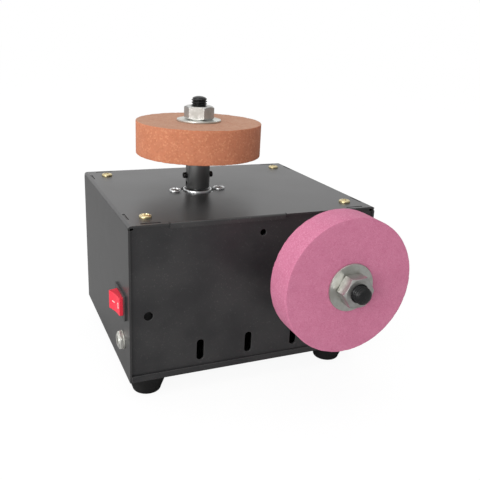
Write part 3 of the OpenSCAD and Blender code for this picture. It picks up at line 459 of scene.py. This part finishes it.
motor_screw = cross_head("motor_screw", head_d=MOTOR_HEAD_D, head_h=2.2, thread_d=4.0, length=MOTOR_SCREW_L,
                         recess_l=5.6, recess_w=1.9, recess_deep=1.5)
low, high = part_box("upright_motor_screws")
inset = MOTOR_HEAD_D / 2 * MM
middle_y = (low.y + high.y) / 2
pair = [(low.x + inset, middle_y, TOP_Z), (high.x - inset, middle_y, TOP_Z)]
top_pair = driven("upright_screw_pair", motor_screw.copy(), pair, bright_zinc, seed=9, spread_deg=90.0)
put_in("upright_screw_pair", top_pair, "upright_motor_screws", bright_zinc)
low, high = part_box("side_motor_screws")
front_y, middle_z = high.y - MOTOR_SCREW_L * MM, (low.z + high.z) / 2
pair = [(low.x + inset, 0, 0), (high.x - inset, 0, 0)]
side_pair = driven("side_screw_pair", motor_screw, pair, bright_zinc, seed=2, spread_deg=90.0)
side_pair.transform(Matrix.Translation((0, front_y, middle_z)) @ Matrix.Rotation(math.pi / 2, 4, "X"))
put_in("side_screw_pair", side_pair, "side_motor_screws", bright_zinc)
wear(bright_zinc, "foot_screws", "foot_nuts")

# ---------------------------------------------------------------- arbors: sleeve, stud and set screws
# Each arbor is turned from one steel bar and oiled black: a sleeve bored for the motor shaft,
# clamped by four socket set screws, and a coarse threaded stud that carries the wheel.
black_oxide = finish_of(
    "oiled_black_steel", zinc_skin,
    {"Metal": (0.008, 0.0085, 0.009), "Stain": (0.020, 0.020, 0.019), "Stain amount": 0.3, "Roughness": 0.24,
     "Spread": 0.08, "Grain": 700.0}, bump=0.04, bump_mm=0.02, IOR=1.4)
turned_black = finish_of(
    "polished_black_sleeve", zinc_skin,
    {"Metal": (0.010, 0.011, 0.0115), "Stain": (0.020, 0.021, 0.021), "Stain amount": 0.3, "Roughness": 0.45,
     "Spread": 0.05, "Grain": 700.0}, bump=0.03, bump_mm=0.02, IOR=3.0)
STUD_D, STUD_PITCH, THREAD_DEEP, CROWN = 12.7, 2.0, 1.05, 3.0


def axis_frame(prefix, seat):
    """Matrix that sets a shape turned about +Z on a spindle, with z = 0 at the given height."""
    low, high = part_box(prefix + "wheel")
    if prefix == "upright_":
        return Matrix.Translation(((low.x + high.x) / 2, (low.y + high.y) / 2, seat))
    return Matrix.Translation(((low.x + high.x) / 2, seat, (low.z + high.z) / 2)) @ Matrix.Rotation(
        math.pi / 2, 4, "X")


def outward(prefix, node, end):
    """Place of a node's near or far end along its spindle."""
    low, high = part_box(prefix + node)
    if prefix == "upright_":
        return (low.z, high.z)[end]
    return (high.y, low.y)[end]


def stud_skin(length, around=72, per_turn=12):
    """Rod with a true helical thread that runs out on a rounded end, from z = 0 to length, in mm."""
    radius = STUD_D / 2
    shoulder = length - CROWN
    rows = [(z, radius) for z in np.linspace(0, shoulder, int(shoulder / STUD_PITCH * per_turn) + 1)]
    rows += [(shoulder + CROWN * math.sin(a), radius * math.cos(a))
             for a in np.radians(np.arange(6, 88, 5.4))]
    theta = np.linspace(0, 2 * np.pi, around, endpoint=False)
    points, faces = [], []
    for z, limit in rows:
        phase = (z / STUD_PITCH - theta / (2 * np.pi)) % 1.0
        flank = np.clip(np.abs(phase - 0.5) * 2.6 - 0.15, 0.0, 1.0)
        r = np.minimum(radius - THREAD_DEEP * (1 - flank), limit)
        points.extend(zip(r * np.cos(theta), r * np.sin(theta), np.full(around, z)))
    for row in range(len(rows) - 1):
        a, b = row * around, (row + 1) * around
        for i in range(around):
            j = (i + 1) % around
            faces.append((a + i, a + j, b + j, b + i))
    rim = (len(rows) - 1) * around
    points.append((0, 0, length))
    for i in range(around):
        faces.append((rim + i, rim + (i + 1) % around, len(points) - 1))
    faces.append(tuple(range(around - 1, -1, -1)))
    return points, faces


for prefix in ("upright_", "side_"):
    seat = outward(prefix, "inner_washer", 0)
    tip = outward(prefix, "arbor", 1)
    place = axis_frame(prefix, seat)
    shell = joined_copy(prefix + "arbor")
    beyond = (place.to_3x3() @ Vector((0, 0, 1))).normalized()
    cut = bmesh.ops.bisect_plane(
        shell, geom=shell.verts[:] + shell.edges[:] + shell.faces[:],
        plane_co=place.translation - beyond * 0.05 * MM, plane_no=beyond, clear_outer=True)
    ring = [e for e in cut["geom_cut"] if isinstance(e, bmesh.types.BMEdge)]
    bmesh.ops.holes_fill(shell, edges=ring)
    points, faces = stud_skin(abs(tip - seat) / MM)
    made = [shell.verts.new(place @ (Vector(p) * MM)) for p in points]
    for face in faces:
        shell.faces.new([made[i] for i in face]).material_index = 1
    bmesh.ops.recalc_face_normals(shell, faces=shell.faces)
    mesh = bpy.data.meshes.new(prefix + "threaded_arbor")
    shell.to_mesh(mesh)
    shell.free()
    mesh.shade_smooth()
    mesh.set_sharp_from_angle(angle=math.radians(42))
    put_in(prefix + "threaded_arbor", mesh, prefix + "arbor", turned_black, black_oxide)
    put_in(prefix + "socket_screws", eased(prefix + "set_screws", prefix + "socket_screws", 0.12),
           prefix + "set_screws", black_oxide)

# ---------------------------------------------------------------- washers and nuts
# Punched steel washers clamp each wheel, and a machined hexagon nut holds them on the stud.
# All are bright zinc plated, a little blotched, with rounded corners on the nut.
nut_zinc = finish_of(
    "dull_zinc_nut", zinc_skin,
    {"Metal": (0.55, 0.55, 0.535), "Stain": (0.36, 0.355, 0.32), "Stain amount": 0.5, "Roughness": 0.38,
     "Spread": 0.25, "Grain": 800.0}, bump=0.3, bump_mm=0.05, metallic=1.0)
washer_zinc = finish_of(
    "bright_zinc_washer", zinc_skin,
    {"Metal": (0.64, 0.645, 0.61), "Stain": (0.44, 0.44, 0.38), "Stain amount": 0.5, "Roughness": 0.38,
     "Spread": 0.2, "Grain": 500.0}, bump=0.2, bump_mm=0.04, metallic=1.0)
for prefix in ("upright_", "side_"):
    put_in(prefix + "hexagon_nut", eased(prefix + "nut", prefix + "hexagon_nut", 0.3, 3, 20.0),
           prefix + "nut", nut_zinc)
    for side in ("inner_washer", "outer_washer"):
        put_in(f"{prefix}{side}_plate", eased(prefix + side, f"{prefix}{side}_plate", 0.22, 2, 30.0),
               prefix + side, washer_zinc)

# ---------------------------------------------------------------- grinding wheels
# Discs of abrasive grain pressed and fired with a glassy bond: brown-orange upright, pink on the side.
# Their faces are flat and dusty, their rims rough, and the corners are slightly crumbled.
abrasive_grain, inlet, outlet = shader_group(
    "abrasive_grain",
    [("Vector", "v", None), ("Body", "c", (0.5, 0.2, 0.1, 1)), ("Light grain", "c", (0.7, 0.4, 0.2, 1)),
     ("Dark grain", "c", (0.3, 0.1, 0.05, 1)), ("Face dust", "c", (0.5, 0.3, 0.2, 1)),
     ("Grain size", "f", 900.0), ("Light amount", "f", 0.5), ("Dark amount", "f", 0.5),
     ("Dust on faces", "f", 0.5), ("Rim radius", "f", 0.0495)],
    [("Colour", "c"), ("Roughness", "f"), ("Height", "f")])
cells = add(abrasive_grain, "ShaderNodeTexVoronoi",
            {"Vector": inlet.outputs["Vector"], "Scale": inlet.outputs["Grain size"], "Randomness": 1.0})
tone = add(abrasive_grain, "ShaderNodeSeparateColor", {"Color": cells.outputs["Color"]})
drift = noise_at(abrasive_grain, inlet.outputs["Vector"], 85.0, 5.0, 0.62)
patch = noise_at(abrasive_grain, inlet.outputs["Vector"], 300.0, 3.0, 0.6)
axes = add(abrasive_grain, "ShaderNodeSeparateXYZ", {"Vector": inlet.outputs["Vector"]})
out_x = maths(abrasive_grain, "MULTIPLY", axes.outputs["X"], axes.outputs["X"])
out_y = maths(abrasive_grain, "MULTIPLY", axes.outputs["Y"], axes.outputs["Y"])
away = maths(abrasive_grain, "SQRT", maths(abrasive_grain, "ADD", out_x, out_y))
on_rim = maths(abrasive_grain, "GREATER_THAN", away, inlet.outputs["Rim radius"])
on_face = maths(abrasive_grain, "SUBTRACT", 1.0, on_rim)
light = maths(abrasive_grain, "MULTIPLY", ranged(abrasive_grain, tone.outputs[0], 0.66, 0.95, 0.0, 1.0),
              inlet.outputs["Light amount"])
calm = maths(abrasive_grain, "SUBTRACT", 1.0, maths(abrasive_grain, "MULTIPLY", on_face, 0.55))
light = maths(abrasive_grain, "MULTIPLY", light, calm)
dark = maths(abrasive_grain, "MULTIPLY", ranged(abrasive_grain, tone.outputs[1], 0.62, 0.95, 0.0, 1.0),
             inlet.outputs["Dark amount"])
dark = maths(abrasive_grain, "MULTIPLY", dark, ranged(abrasive_grain, patch, 0.35, 0.6, 0.4, 1.0))
base = mixed(abrasive_grain, maths(abrasive_grain, "MULTIPLY", on_face, inlet.outputs["Dust on faces"]),
             inlet.outputs["Body"], inlet.outputs["Face dust"])
clouded = mixed(abrasive_grain, ranged(abrasive_grain, drift, 0.35, 0.65, 0.0, 0.22), base,
                inlet.outputs["Dark grain"])
lit = mixed(abrasive_grain, light, clouded, inlet.outputs["Light grain"])
abrasive_grain.links.new(mixed(abrasive_grain, dark, lit, inlet.outputs["Dark grain"]),
                         outlet.inputs["Colour"])
abrasive_grain.links.new(ranged(abrasive_grain, patch, 0.3, 0.7, 0.78, 0.95), outlet.inputs["Roughness"])
abrasive_grain.links.new(
    maths(abrasive_grain, "ADD", maths(abrasive_grain, "MULTIPLY", cells.outputs["Distance"], 0.7),
          maths(abrasive_grain, "MULTIPLY", patch, 0.8)), outlet.inputs["Height"])


def wheel_finish(name, prefix, values, bump):
    """Abrasive finish whose pattern is centred on the wheel's own axis."""
    made = finish_of(name, abrasive_grain, values, bump=bump, bump_mm=0.35)
    tree = made.node_tree
    where = next(n for n in tree.nodes if n.bl_idname == "ShaderNodeTexCoord")
    skin = next(n for n in tree.nodes if n.bl_idname == "ShaderNodeGroup")
    low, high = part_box(prefix + "wheel")
    centre = (low + high) / 2
    turn = (0, 0, 0) if prefix == "upright_" else (-math.pi / 2, 0, 0)
    moved = add(tree, "ShaderNodeVectorMath", {0: where.outputs["Object"], 1: centre}, operation="SUBTRACT")
    centred = add(tree, "ShaderNodeMapping", {"Vector": moved.outputs[0], "Rotation": turn})
    tree.links.new(centred.outputs[0], skin.inputs["Vector"])
    return made


orange_wheel = wheel_finish(
    "orange_abrasive", "upright_",
    {"Body": (0.505, 0.180, 0.092), "Light grain": (0.76, 0.39, 0.215), "Dark grain": (0.35, 0.115, 0.055),
     "Face dust": (0.46, 0.272, 0.183), "Grain size": 850.0, "Light amount": 0.24, "Dark amount": 0.4,
     "Dust on faces": 0.85, "Rim radius": 0.0506}, 0.4)
pink_wheel = wheel_finish(
    "pink_abrasive", "side_",
    {"Body": (0.55, 0.172, 0.285), "Light grain": (0.70, 0.33, 0.45), "Dark grain": (0.40, 0.09, 0.18),
     "Face dust": (0.53, 0.174, 0.282), "Grain size": 1500.0, "Light amount": 0.35, "Dark amount": 0.35,
     "Dust on faces": 0.6, "Rim radius": 0.0506}, 0.35)


def wheel_tree():
    """Geometry Nodes: a turned disc swept from its half section, then roughened inwards."""
    group = bpy.data.node_groups.new("pressed_disc", "GeometryNodeTree")
    ids = {}
    for label, kind in (("Geometry", "NodeSocketGeometry"), ("Sweep radius", "NodeSocketFloat"),
                        ("Steps", "NodeSocketInt"), ("Grain depth", "NodeSocketFloat"),
                        ("Grain scale", "NodeSocketFloat"), ("Chip depth", "NodeSocketFloat"),
                        ("Chip scale", "NodeSocketFloat"), ("Rim radius", "NodeSocketFloat"),
                        ("Half width", "NodeSocketFloat"), ("Seed", "NodeSocketFloat"),
                        ("Finish", "NodeSocketMaterial")):
        ids[label] = group.interface.new_socket(name=label, in_out="INPUT", socket_type=kind).identifier
    group.interface.new_socket(name="Geometry", in_out="OUTPUT", socket_type="NodeSocketGeometry")
    start, end = group.nodes.new("NodeGroupInput"), group.nodes.new("NodeGroupOutput")
    ring = add(group, "GeometryNodeCurvePrimitiveCircle",
               {"Resolution": start.outputs["Steps"], "Radius": start.outputs["Sweep radius"]})
    section = add(group, "GeometryNodeMeshToCurve", {"Mesh": start.outputs["Geometry"]})
    swept = add(group, "GeometryNodeCurveToMesh",
                {"Curve": ring.outputs[0], "Profile Curve": section.outputs[0]})
    sealed = add(group, "GeometryNodeMergeByDistance", {"Geometry": swept.outputs[0], "Distance": 0.00002})
    here = add(group, "GeometryNodeInputPosition").outputs[0]
    facing = add(group, "GeometryNodeInputNormal").outputs[0]
    parts = add(group, "ShaderNodeSeparateXYZ", {"Vector": here})
    out_x = maths(group, "MULTIPLY", parts.outputs[0], parts.outputs[0])
    out_y = maths(group, "MULTIPLY", parts.outputs[1], parts.outputs[1])
    out = maths(group, "SQRT", maths(group, "ADD", out_x, out_y))
    from_rim = maths(group, "SUBTRACT", start.outputs["Rim radius"], out)
    from_face = maths(group, "SUBTRACT", start.outputs["Half width"],
                      maths(group, "ABSOLUTE", parts.outputs[2]))
    corner = ranged(group, maths(group, "ADD", from_rim, from_face), 0.0002, 0.0024, 1.0, 0.0)
    grain, chips = (
        add(group, "ShaderNodeTexNoise",
            {"Vector": here, "W": start.outputs["Seed"], "Scale": start.outputs[scale], "Detail": detail},
            noise_dimensions="4D").outputs[0]
        for scale, detail in (("Grain scale", 2.0), ("Chip scale", 3.0)))
    pits = maths(group, "MULTIPLY", ranged(group, grain, 0.30, 0.75, 0.0, 1.0), start.outputs["Grain depth"])
    crumbled = maths(group, "MULTIPLY", ranged(group, chips, 0.45, 0.72, 0.0, 1.0), corner)
    broken = maths(group, "MULTIPLY", crumbled, start.outputs["Chip depth"])
    sunk = maths(group, "MULTIPLY", maths(group, "ADD", pits, broken), -1.0)
    push = add(group, "ShaderNodeVectorMath", {0: facing, "Scale": sunk}, operation="SCALE")
    shaped = add(group, "GeometryNodeSetPosition", {"Geometry": sealed.outputs[0], "Offset": push.outputs[0]})
    real = add(group, "GeometryNodeRealizeInstances", {"Geometry": shaped.outputs[0]})
    dressed = add(group, "GeometryNodeSetMaterial",
                  {"Geometry": real.outputs[0], "Material": start.outputs["Finish"]})
    group.links.new(dressed.outputs[0], end.inputs["Geometry"])
    return group, ids


def face_outward(mesh):
    shell = bmesh.new()
    shell.from_mesh(mesh)
    bmesh.ops.recalc_face_normals(shell, faces=shell.faces)
    shell.to_mesh(mesh)
    shell.free()


disc_tree, disc_ids = wheel_tree()
BORE_R, CORNER_R, GRAIN_STEP = 6.5, 0.45, 0.95


def half_section(radius, width):
    """Closed outline of the disc's half section, in mm: x from the axis, y from the middle."""
    half, inner = width / 2, radius - CORNER_R
    face = np.linspace(BORE_R, inner, int((radius - BORE_R) / GRAIN_STEP))
    rim = np.linspace(-half + CORNER_R, half - CORNER_R, int(width / GRAIN_STEP))
    turns = [(CORNER_R * math.sin(a), CORNER_R * math.cos(a)) for a in np.radians((30, 60))]
    outline = [(x, -half) for x in face]
    outline.extend((inner + out, -half + CORNER_R - up) for out, up in turns)
    outline.extend((radius, y) for y in rim)
    outline.extend((inner + out, half - CORNER_R + up) for out, up in turns[::-1])
    outline.extend((x, half) for x in face[::-1])
    outline.extend((BORE_R, y) for y in np.linspace(half, -half, 6)[1:-1])
    return outline


for prefix, material, seed, grain_deep in (("upright_", orange_wheel, 3.0, 0.08),
                                           ("side_", pink_wheel, 8.0, 0.05)):
    low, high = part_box(prefix + "wheel")
    size = (high - low) / MM
    radius = size.x / 2
    width = size.z if prefix == "upright_" else size.y
    name = prefix + "abrasive_disc"
    outline = half_section(radius, width)
    sweep = (radius + BORE_R) / 2
    points = bpy.data.meshes.new(name)
    count = len(outline)
    points.from_pydata([((x - sweep) * MM, y * MM, 0) for x, y in outline],
                       [(i, (i + 1) % count) for i in range(count)], [])

    def modify(passing):
        disc = passing.modifiers.new("disc", "NODES")
        disc.node_group = disc_tree
        for label, value in (("Sweep radius", sweep * MM), ("Steps", 330), ("Grain depth", grain_deep * MM),
                             ("Grain scale", 620.0), ("Chip depth", 0.25 * MM), ("Chip scale", 190.0),
                             ("Rim radius", radius * MM), ("Half width", width / 2 * MM), ("Seed", seed),
                             ("Finish", material)):
            disc[disc_ids[label]] = value

    disc = baked(points, name, modify, 60.0)
    face_outward(disc)
    centre = (low + high) / 2
    seat = centre.z if prefix == "upright_" else centre.y
    disc.transform(axis_frame(prefix, seat))
    put_in(name, disc, prefix + "wheel", material)

# ---------------------------------------------------------------- rocker switch
# A snap-in switch in black nylon with a glossy red rocker, pressed through the left wall.
# The rocker carries a moulded stroke and ring for on and off, filled in pale paint.
moulded_skin, inlet, outlet = shader_group(
    "moulded_skin",
    [("Vector", "v", None), ("Body", "c", (0.1, 0.1, 0.1, 1)), ("Bloom", "c", (0.2, 0.2, 0.2, 1)),
     ("Bloom amount", "f", 0.2), ("Roughness", "f", 0.4), ("Spread", "f", 0.1), ("Texture", "f", 900.0)],
    [("Colour", "c"), ("Roughness", "f"), ("Height", "f")])
haze = noise_at(moulded_skin, inlet.outputs["Vector"], 70.0, 4.0, 0.6)
pebble = noise_at(moulded_skin, inlet.outputs["Vector"], inlet.outputs["Texture"], 2.0, 0.5)
veil = maths(moulded_skin, "MULTIPLY", ranged(moulded_skin, haze, 0.4, 0.7, 0.0, 1.0),
             inlet.outputs["Bloom amount"])
moulded_skin.links.new(mixed(moulded_skin, veil, inlet.outputs["Body"], inlet.outputs["Bloom"]),
                       outlet.inputs["Colour"])
uneven = maths(moulded_skin, "MULTIPLY", maths(moulded_skin, "SUBTRACT", haze, 0.5), inlet.outputs["Spread"])
moulded_skin.links.new(maths(moulded_skin, "ADD", inlet.outputs["Roughness"], uneven),
                       outlet.inputs["Roughness"])
moulded_skin.links.new(pebble, outlet.inputs["Height"])

black_nylon = finish_of(
    "black_nylon", moulded_skin,
    {"Body": (0.022, 0.022, 0.023), "Bloom": (0.10, 0.10, 0.10), "Bloom amount": 0.25, "Roughness": 0.42,
     "Spread": 0.15, "Texture": 1100.0}, bump=0.2, bump_mm=0.03)
# The bezel's rounded edges take this lighter nylon as a painted sheen. It is broadest along the outer top and
# bottom, where the top side would reflect the bright ceiling.
sheen_nylon_edge = finish_of(
    "nylon_edge_painted_sheen", moulded_skin,
    {"Body": (0.060, 0.060, 0.060), "Bloom": (0.10, 0.10, 0.10), "Bloom amount": 0.25, "Roughness": 0.45,
     "Spread": 0.15, "Texture": 1100.0}, bump=0.2, bump_mm=0.03)
red_rocker = finish_of(
    "red_rocker_plastic", moulded_skin,
    {"Body": (0.79, 0.030, 0.058), "Bloom": (0.84, 0.06, 0.09), "Bloom amount": 0.3, "Roughness": 0.36,
     "Spread": 0.12, "Texture": 500.0}, bump=0.08, bump_mm=0.02, IOR=1.36)
mark_paint = finish_of(
    "pale_mark_paint", moulded_skin,
    {"Body": (0.86, 0.62, 0.60), "Bloom": (0.95, 0.85, 0.84), "Bloom amount": 0.4, "Roughness": 0.5,
     "Spread": 0.1, "Texture": 900.0}, bump=0.1, bump_mm=0.02)


def rounded_by_weight(node, name, width_mm, well_rounded, edge_slot=0):
    """A CAD node's skin: chosen sharp edges are rounded by the width, the others by a quarter of it."""
    shell = joined_copy(node)
    weights = shell.edges.layers.float.new("bevel_weight_edge")
    for edge in shell.edges:
        if edge.calc_face_angle(0.0) >= SHARP:
            edge[weights] = 1.0 if well_rounded(*(corner.co for corner in edge.verts)) else 0.25
    mesh = bpy.data.meshes.new(name)
    shell.to_mesh(mesh)
    shell.free()
    mesh.shade_smooth()
    for _ in range(edge_slot + 1):
        mesh.materials.append(None)

    def modify(passing):
        bevel = passing.modifiers.new("edge", "BEVEL")
        bevel.width = width_mm * MM
        bevel.segments = 4
        bevel.limit_method = "WEIGHT"
        bevel.material = edge_slot
        flat = passing.modifiers.new("flat_faces", "WEIGHTED_NORMAL")
        flat.weight = 100

    return baked(mesh, name, modify)


SHARP, RIM, CAP_RIM = math.radians(40), 1.2, 1.3
low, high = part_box("switch_housing")


def on_rim(*ends):
    """The bezel's outer edges along its top and bottom."""
    return all(end.x < low.x + 0.2 * MM and min(end.z - low.z, high.z - end.z) < 0.2 * MM for end in ends)


put_in("switch_bezel", rounded_by_weight("switch_housing", "switch_bezel", RIM, on_rim, 1),
       "switch_housing", black_nylon, sheen_nylon_edge)

# The rocker's local z leaves the wall, its x is up and its y runs back.
ROCKER_TILT, PIVOT_IN, CAP_H, HOLLOW_R, HOLLOW = math.radians(13), 2.0, 8.2, 40.0, 0.8
wall_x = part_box("cover")[0].x
cap_place = (Matrix.Translation((wall_x, (low.y + high.y) / 2, (low.z + high.z) / 2))
             @ Matrix.Rotation(-math.pi / 2, 4, "Y") @ Matrix.Translation((0, 0, -PIVOT_IN * MM))
             @ Matrix.Rotation(ROCKER_TILT, 4, "X"))
to_cap = cap_place.inverted()


def on_cap_end(*ends):
    """The cap's top edges at its two ends."""
    one, other = (to_cap @ end / MM for end in ends)
    return abs(one.y - other.y) < 0.3 and abs(one.y) > 8 and min(one.z, other.z) > CAP_H - 1.5


put_in("rocker_cap", rounded_by_weight("switch_rocker", "rocker_cap", CAP_RIM, on_cap_end),
       "switch_rocker", red_rocker)


def cap_top(y):
    return CAP_H + HOLLOW_R - HOLLOW - math.sqrt(HOLLOW_R ** 2 - y ** 2)


def mark(outline_pairs, closed):
    """Thin raised line on the cap between two edge paths given as (x, y) in mm."""
    points, faces = [], []
    for inner, outer in outline_pairs:
        for (x, y), lift in ((inner, -0.1), (inner, 0.05), (outer, 0.05), (outer, -0.1)):
            points.append(cap_place @ (Vector((x, y, cap_top(y) + lift)) * MM))
    count = len(outline_pairs)
    for i in range(count if closed else count - 1):
        a, b = 4 * i, 4 * ((i + 1) % count)
        faces.extend([(a + k, b + k, b + (k + 1) % 4, a + (k + 1) % 4) for k in range(4)])
    if not closed:
        faces.append((0, 1, 2, 3))
        faces.append((4 * count - 1, 4 * count - 2, 4 * count - 3, 4 * count - 4))
    mesh = bpy.data.meshes.new("mark")
    mesh.from_pydata(points, [], faces)
    return mesh


RING_Y, STROKE_FROM, STROKE_TO, STROKE_HALF = -5.7, 0.7, 4.5, 0.35
ring = [((1.6 * math.cos(a), RING_Y + 1.2 * math.sin(a)), (2.3 * math.cos(a), RING_Y + 1.8 * math.sin(a)))
        for a in np.linspace(0, 2 * math.pi, 36, endpoint=False)]
stroke = [((-STROKE_HALF, y), (STROKE_HALF, y)) for y in np.linspace(STROKE_FROM, STROKE_TO, 8)]
for name, outline, closed in (("off_ring_mark", ring, True), ("on_stroke_mark", stroke, False)):
    mesh = mark(outline, closed)
    face_outward(mesh)
    mesh.materials.append(mark_paint)
    piece = bpy.data.objects.new(name, mesh)
    bpy.context.scene.collection.objects.link(piece)
    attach(piece, "rocker")

# ---------------------------------------------------------------- power inlet
# A small round inlet for a low-voltage plug, held in the left wall by a thin hexagon nut
# over a plain washer. Nut and washer are nickel plated; the barrel is darker metal.
nickel = finish_of(
    "nickel_plate", zinc_skin,
    {"Metal": (0.88, 0.88, 0.83), "Stain": (0.62, 0.61, 0.55), "Stain amount": 0.3, "Roughness": 0.42,
     "Spread": 0.15, "Grain": 900.0}, bump=0.12, bump_mm=0.03, metallic=1.0)
put_in("inlet_hexagon_nut", eased("inlet_nut", "inlet_hexagon_nut", 0.15, 2, 20.0), "inlet_nut", nickel)
put_in("inlet_plain_washer", eased("inlet_washer", "inlet_plain_washer", 0.15), "inlet_washer", nickel)
barrel_metal = finish_of(
    "barrel_metal", zinc_skin,
    {"Metal": (0.80, 0.80, 0.76), "Stain": (0.50, 0.50, 0.46), "Stain amount": 0.3, "Roughness": 0.40,
     "Spread": 0.2, "Grain": 900.0}, bump=0.2, bump_mm=0.03, metallic=1.0)
wear(barrel_metal, "inlet_body")

# ---------------------------------------------------------------- rubber feet
# Four round feet moulded in black rubber, wider at the top, each held by a screw from below.
foot_rubber = finish_of(
    "black_rubber", moulded_skin,
    {"Body": (0.007, 0.007, 0.007), "Bloom": (0.022, 0.022, 0.022), "Bloom amount": 0.35, "Roughness": 0.72,
     "Spread": 0.15, "Texture": 1500.0}, bump=0.4, bump_mm=0.06, IOR=1.3)
put_in("rubber_foot_set", eased("rubber_feet", "rubber_foot_set", 0.4, 3, 30.0), "rubber_feet", foot_rubber)

# ---------------------------------------------------------------- motors and wiring inside the housing
# Two direct-current motors with pressed cans and black end bells are screwed behind the panels.
# Stranded wires in red and black insulation link the inlet, the switch and both motors.
can_steel = finish_of(
    "drawn_can_steel", zinc_skin,
    {"Metal": (0.82, 0.84, 0.85), "Stain": (0.60, 0.62, 0.63), "Stain amount": 0.25, "Roughness": 0.34,
     "Spread": 0.15, "Grain": 700.0}, bump=0.05, bump_mm=0.02, metallic=1.0)


def inner_metal(name, metal, stain, amount, roughness, bump=0.2, metallic=1.0):
    return finish_of(name, zinc_skin, {"Metal": metal, "Stain": stain, "Stain amount": amount,
                                       "Roughness": roughness}, bump=bump, metallic=metallic)


def inner_moulding(name, body, bloom, roughness, bump=0.2):
    return finish_of(name, moulded_skin, {"Body": body, "Bloom": bloom, "Roughness": roughness}, bump=bump)


brass = inner_metal("stamped_brass", (0.80, 0.62, 0.28), (0.45, 0.30, 0.12), 0.3, 0.3)
inner_finishes = {
    "end_bell": black_nylon,
    "magnets": inner_moulding("grey_ferrite", (0.07, 0.07, 0.075), (0.14, 0.14, 0.14), 0.6, 0.3),
    "bearing_outers": inner_metal("sealed_bearing_steel", (0.12, 0.12, 0.12), (0.05, 0.05, 0.05), 0.5, 0.35,
                                  0.1, 0.7),
    "bearing_balls": bright_zinc,
    "bearing_inners": bright_zinc,
    "shaft": can_steel,
    "core": inner_metal("lamination_steel", (0.28, 0.28, 0.30), (0.12, 0.10, 0.09), 0.5, 0.45, 0.3, 0.8),
    "windings": inner_metal("enamelled_copper", (0.62, 0.24, 0.09), (0.30, 0.10, 0.04), 0.5, 0.35, 0.4, 0.8),
    "commutator": inner_metal("turned_copper", (0.78, 0.42, 0.26), (0.25, 0.12, 0.08), 0.4, 0.3),
    "brushes": inner_moulding("pressed_carbon", (0.035, 0.035, 0.036), (0.09, 0.09, 0.09), 0.55, 0.3),
    "brush_holders": brass,
}
for prefix in ("upright_", "side_"):
    for part, material in inner_finishes.items():
        wear(material, prefix + part)
    put_in(prefix + "pressed_can", eased(prefix + "motor_can", prefix + "pressed_can", 0.3, 3, 50.0),
           prefix + "motor_can", can_steel)
wear(brass, "switch_contact")
wear(inner_metal("tinned_brass", (0.74, 0.72, 0.66), (0.5, 0.42, 0.3), 0.3, 0.32),
     "switch_terminals", "inlet_contacts")
wear(inner_moulding("white_nylon", (0.74, 0.74, 0.70), (0.82, 0.82, 0.80), 0.4), "switch_plunger")
wear(inner_moulding("red_insulation", (0.55, 0.02, 0.02), (0.66, 0.12, 0.10), 0.42), "red_wires")
wear(inner_moulding("black_insulation", (0.02, 0.02, 0.02), (0.07, 0.07, 0.07), 0.42), "black_wires")
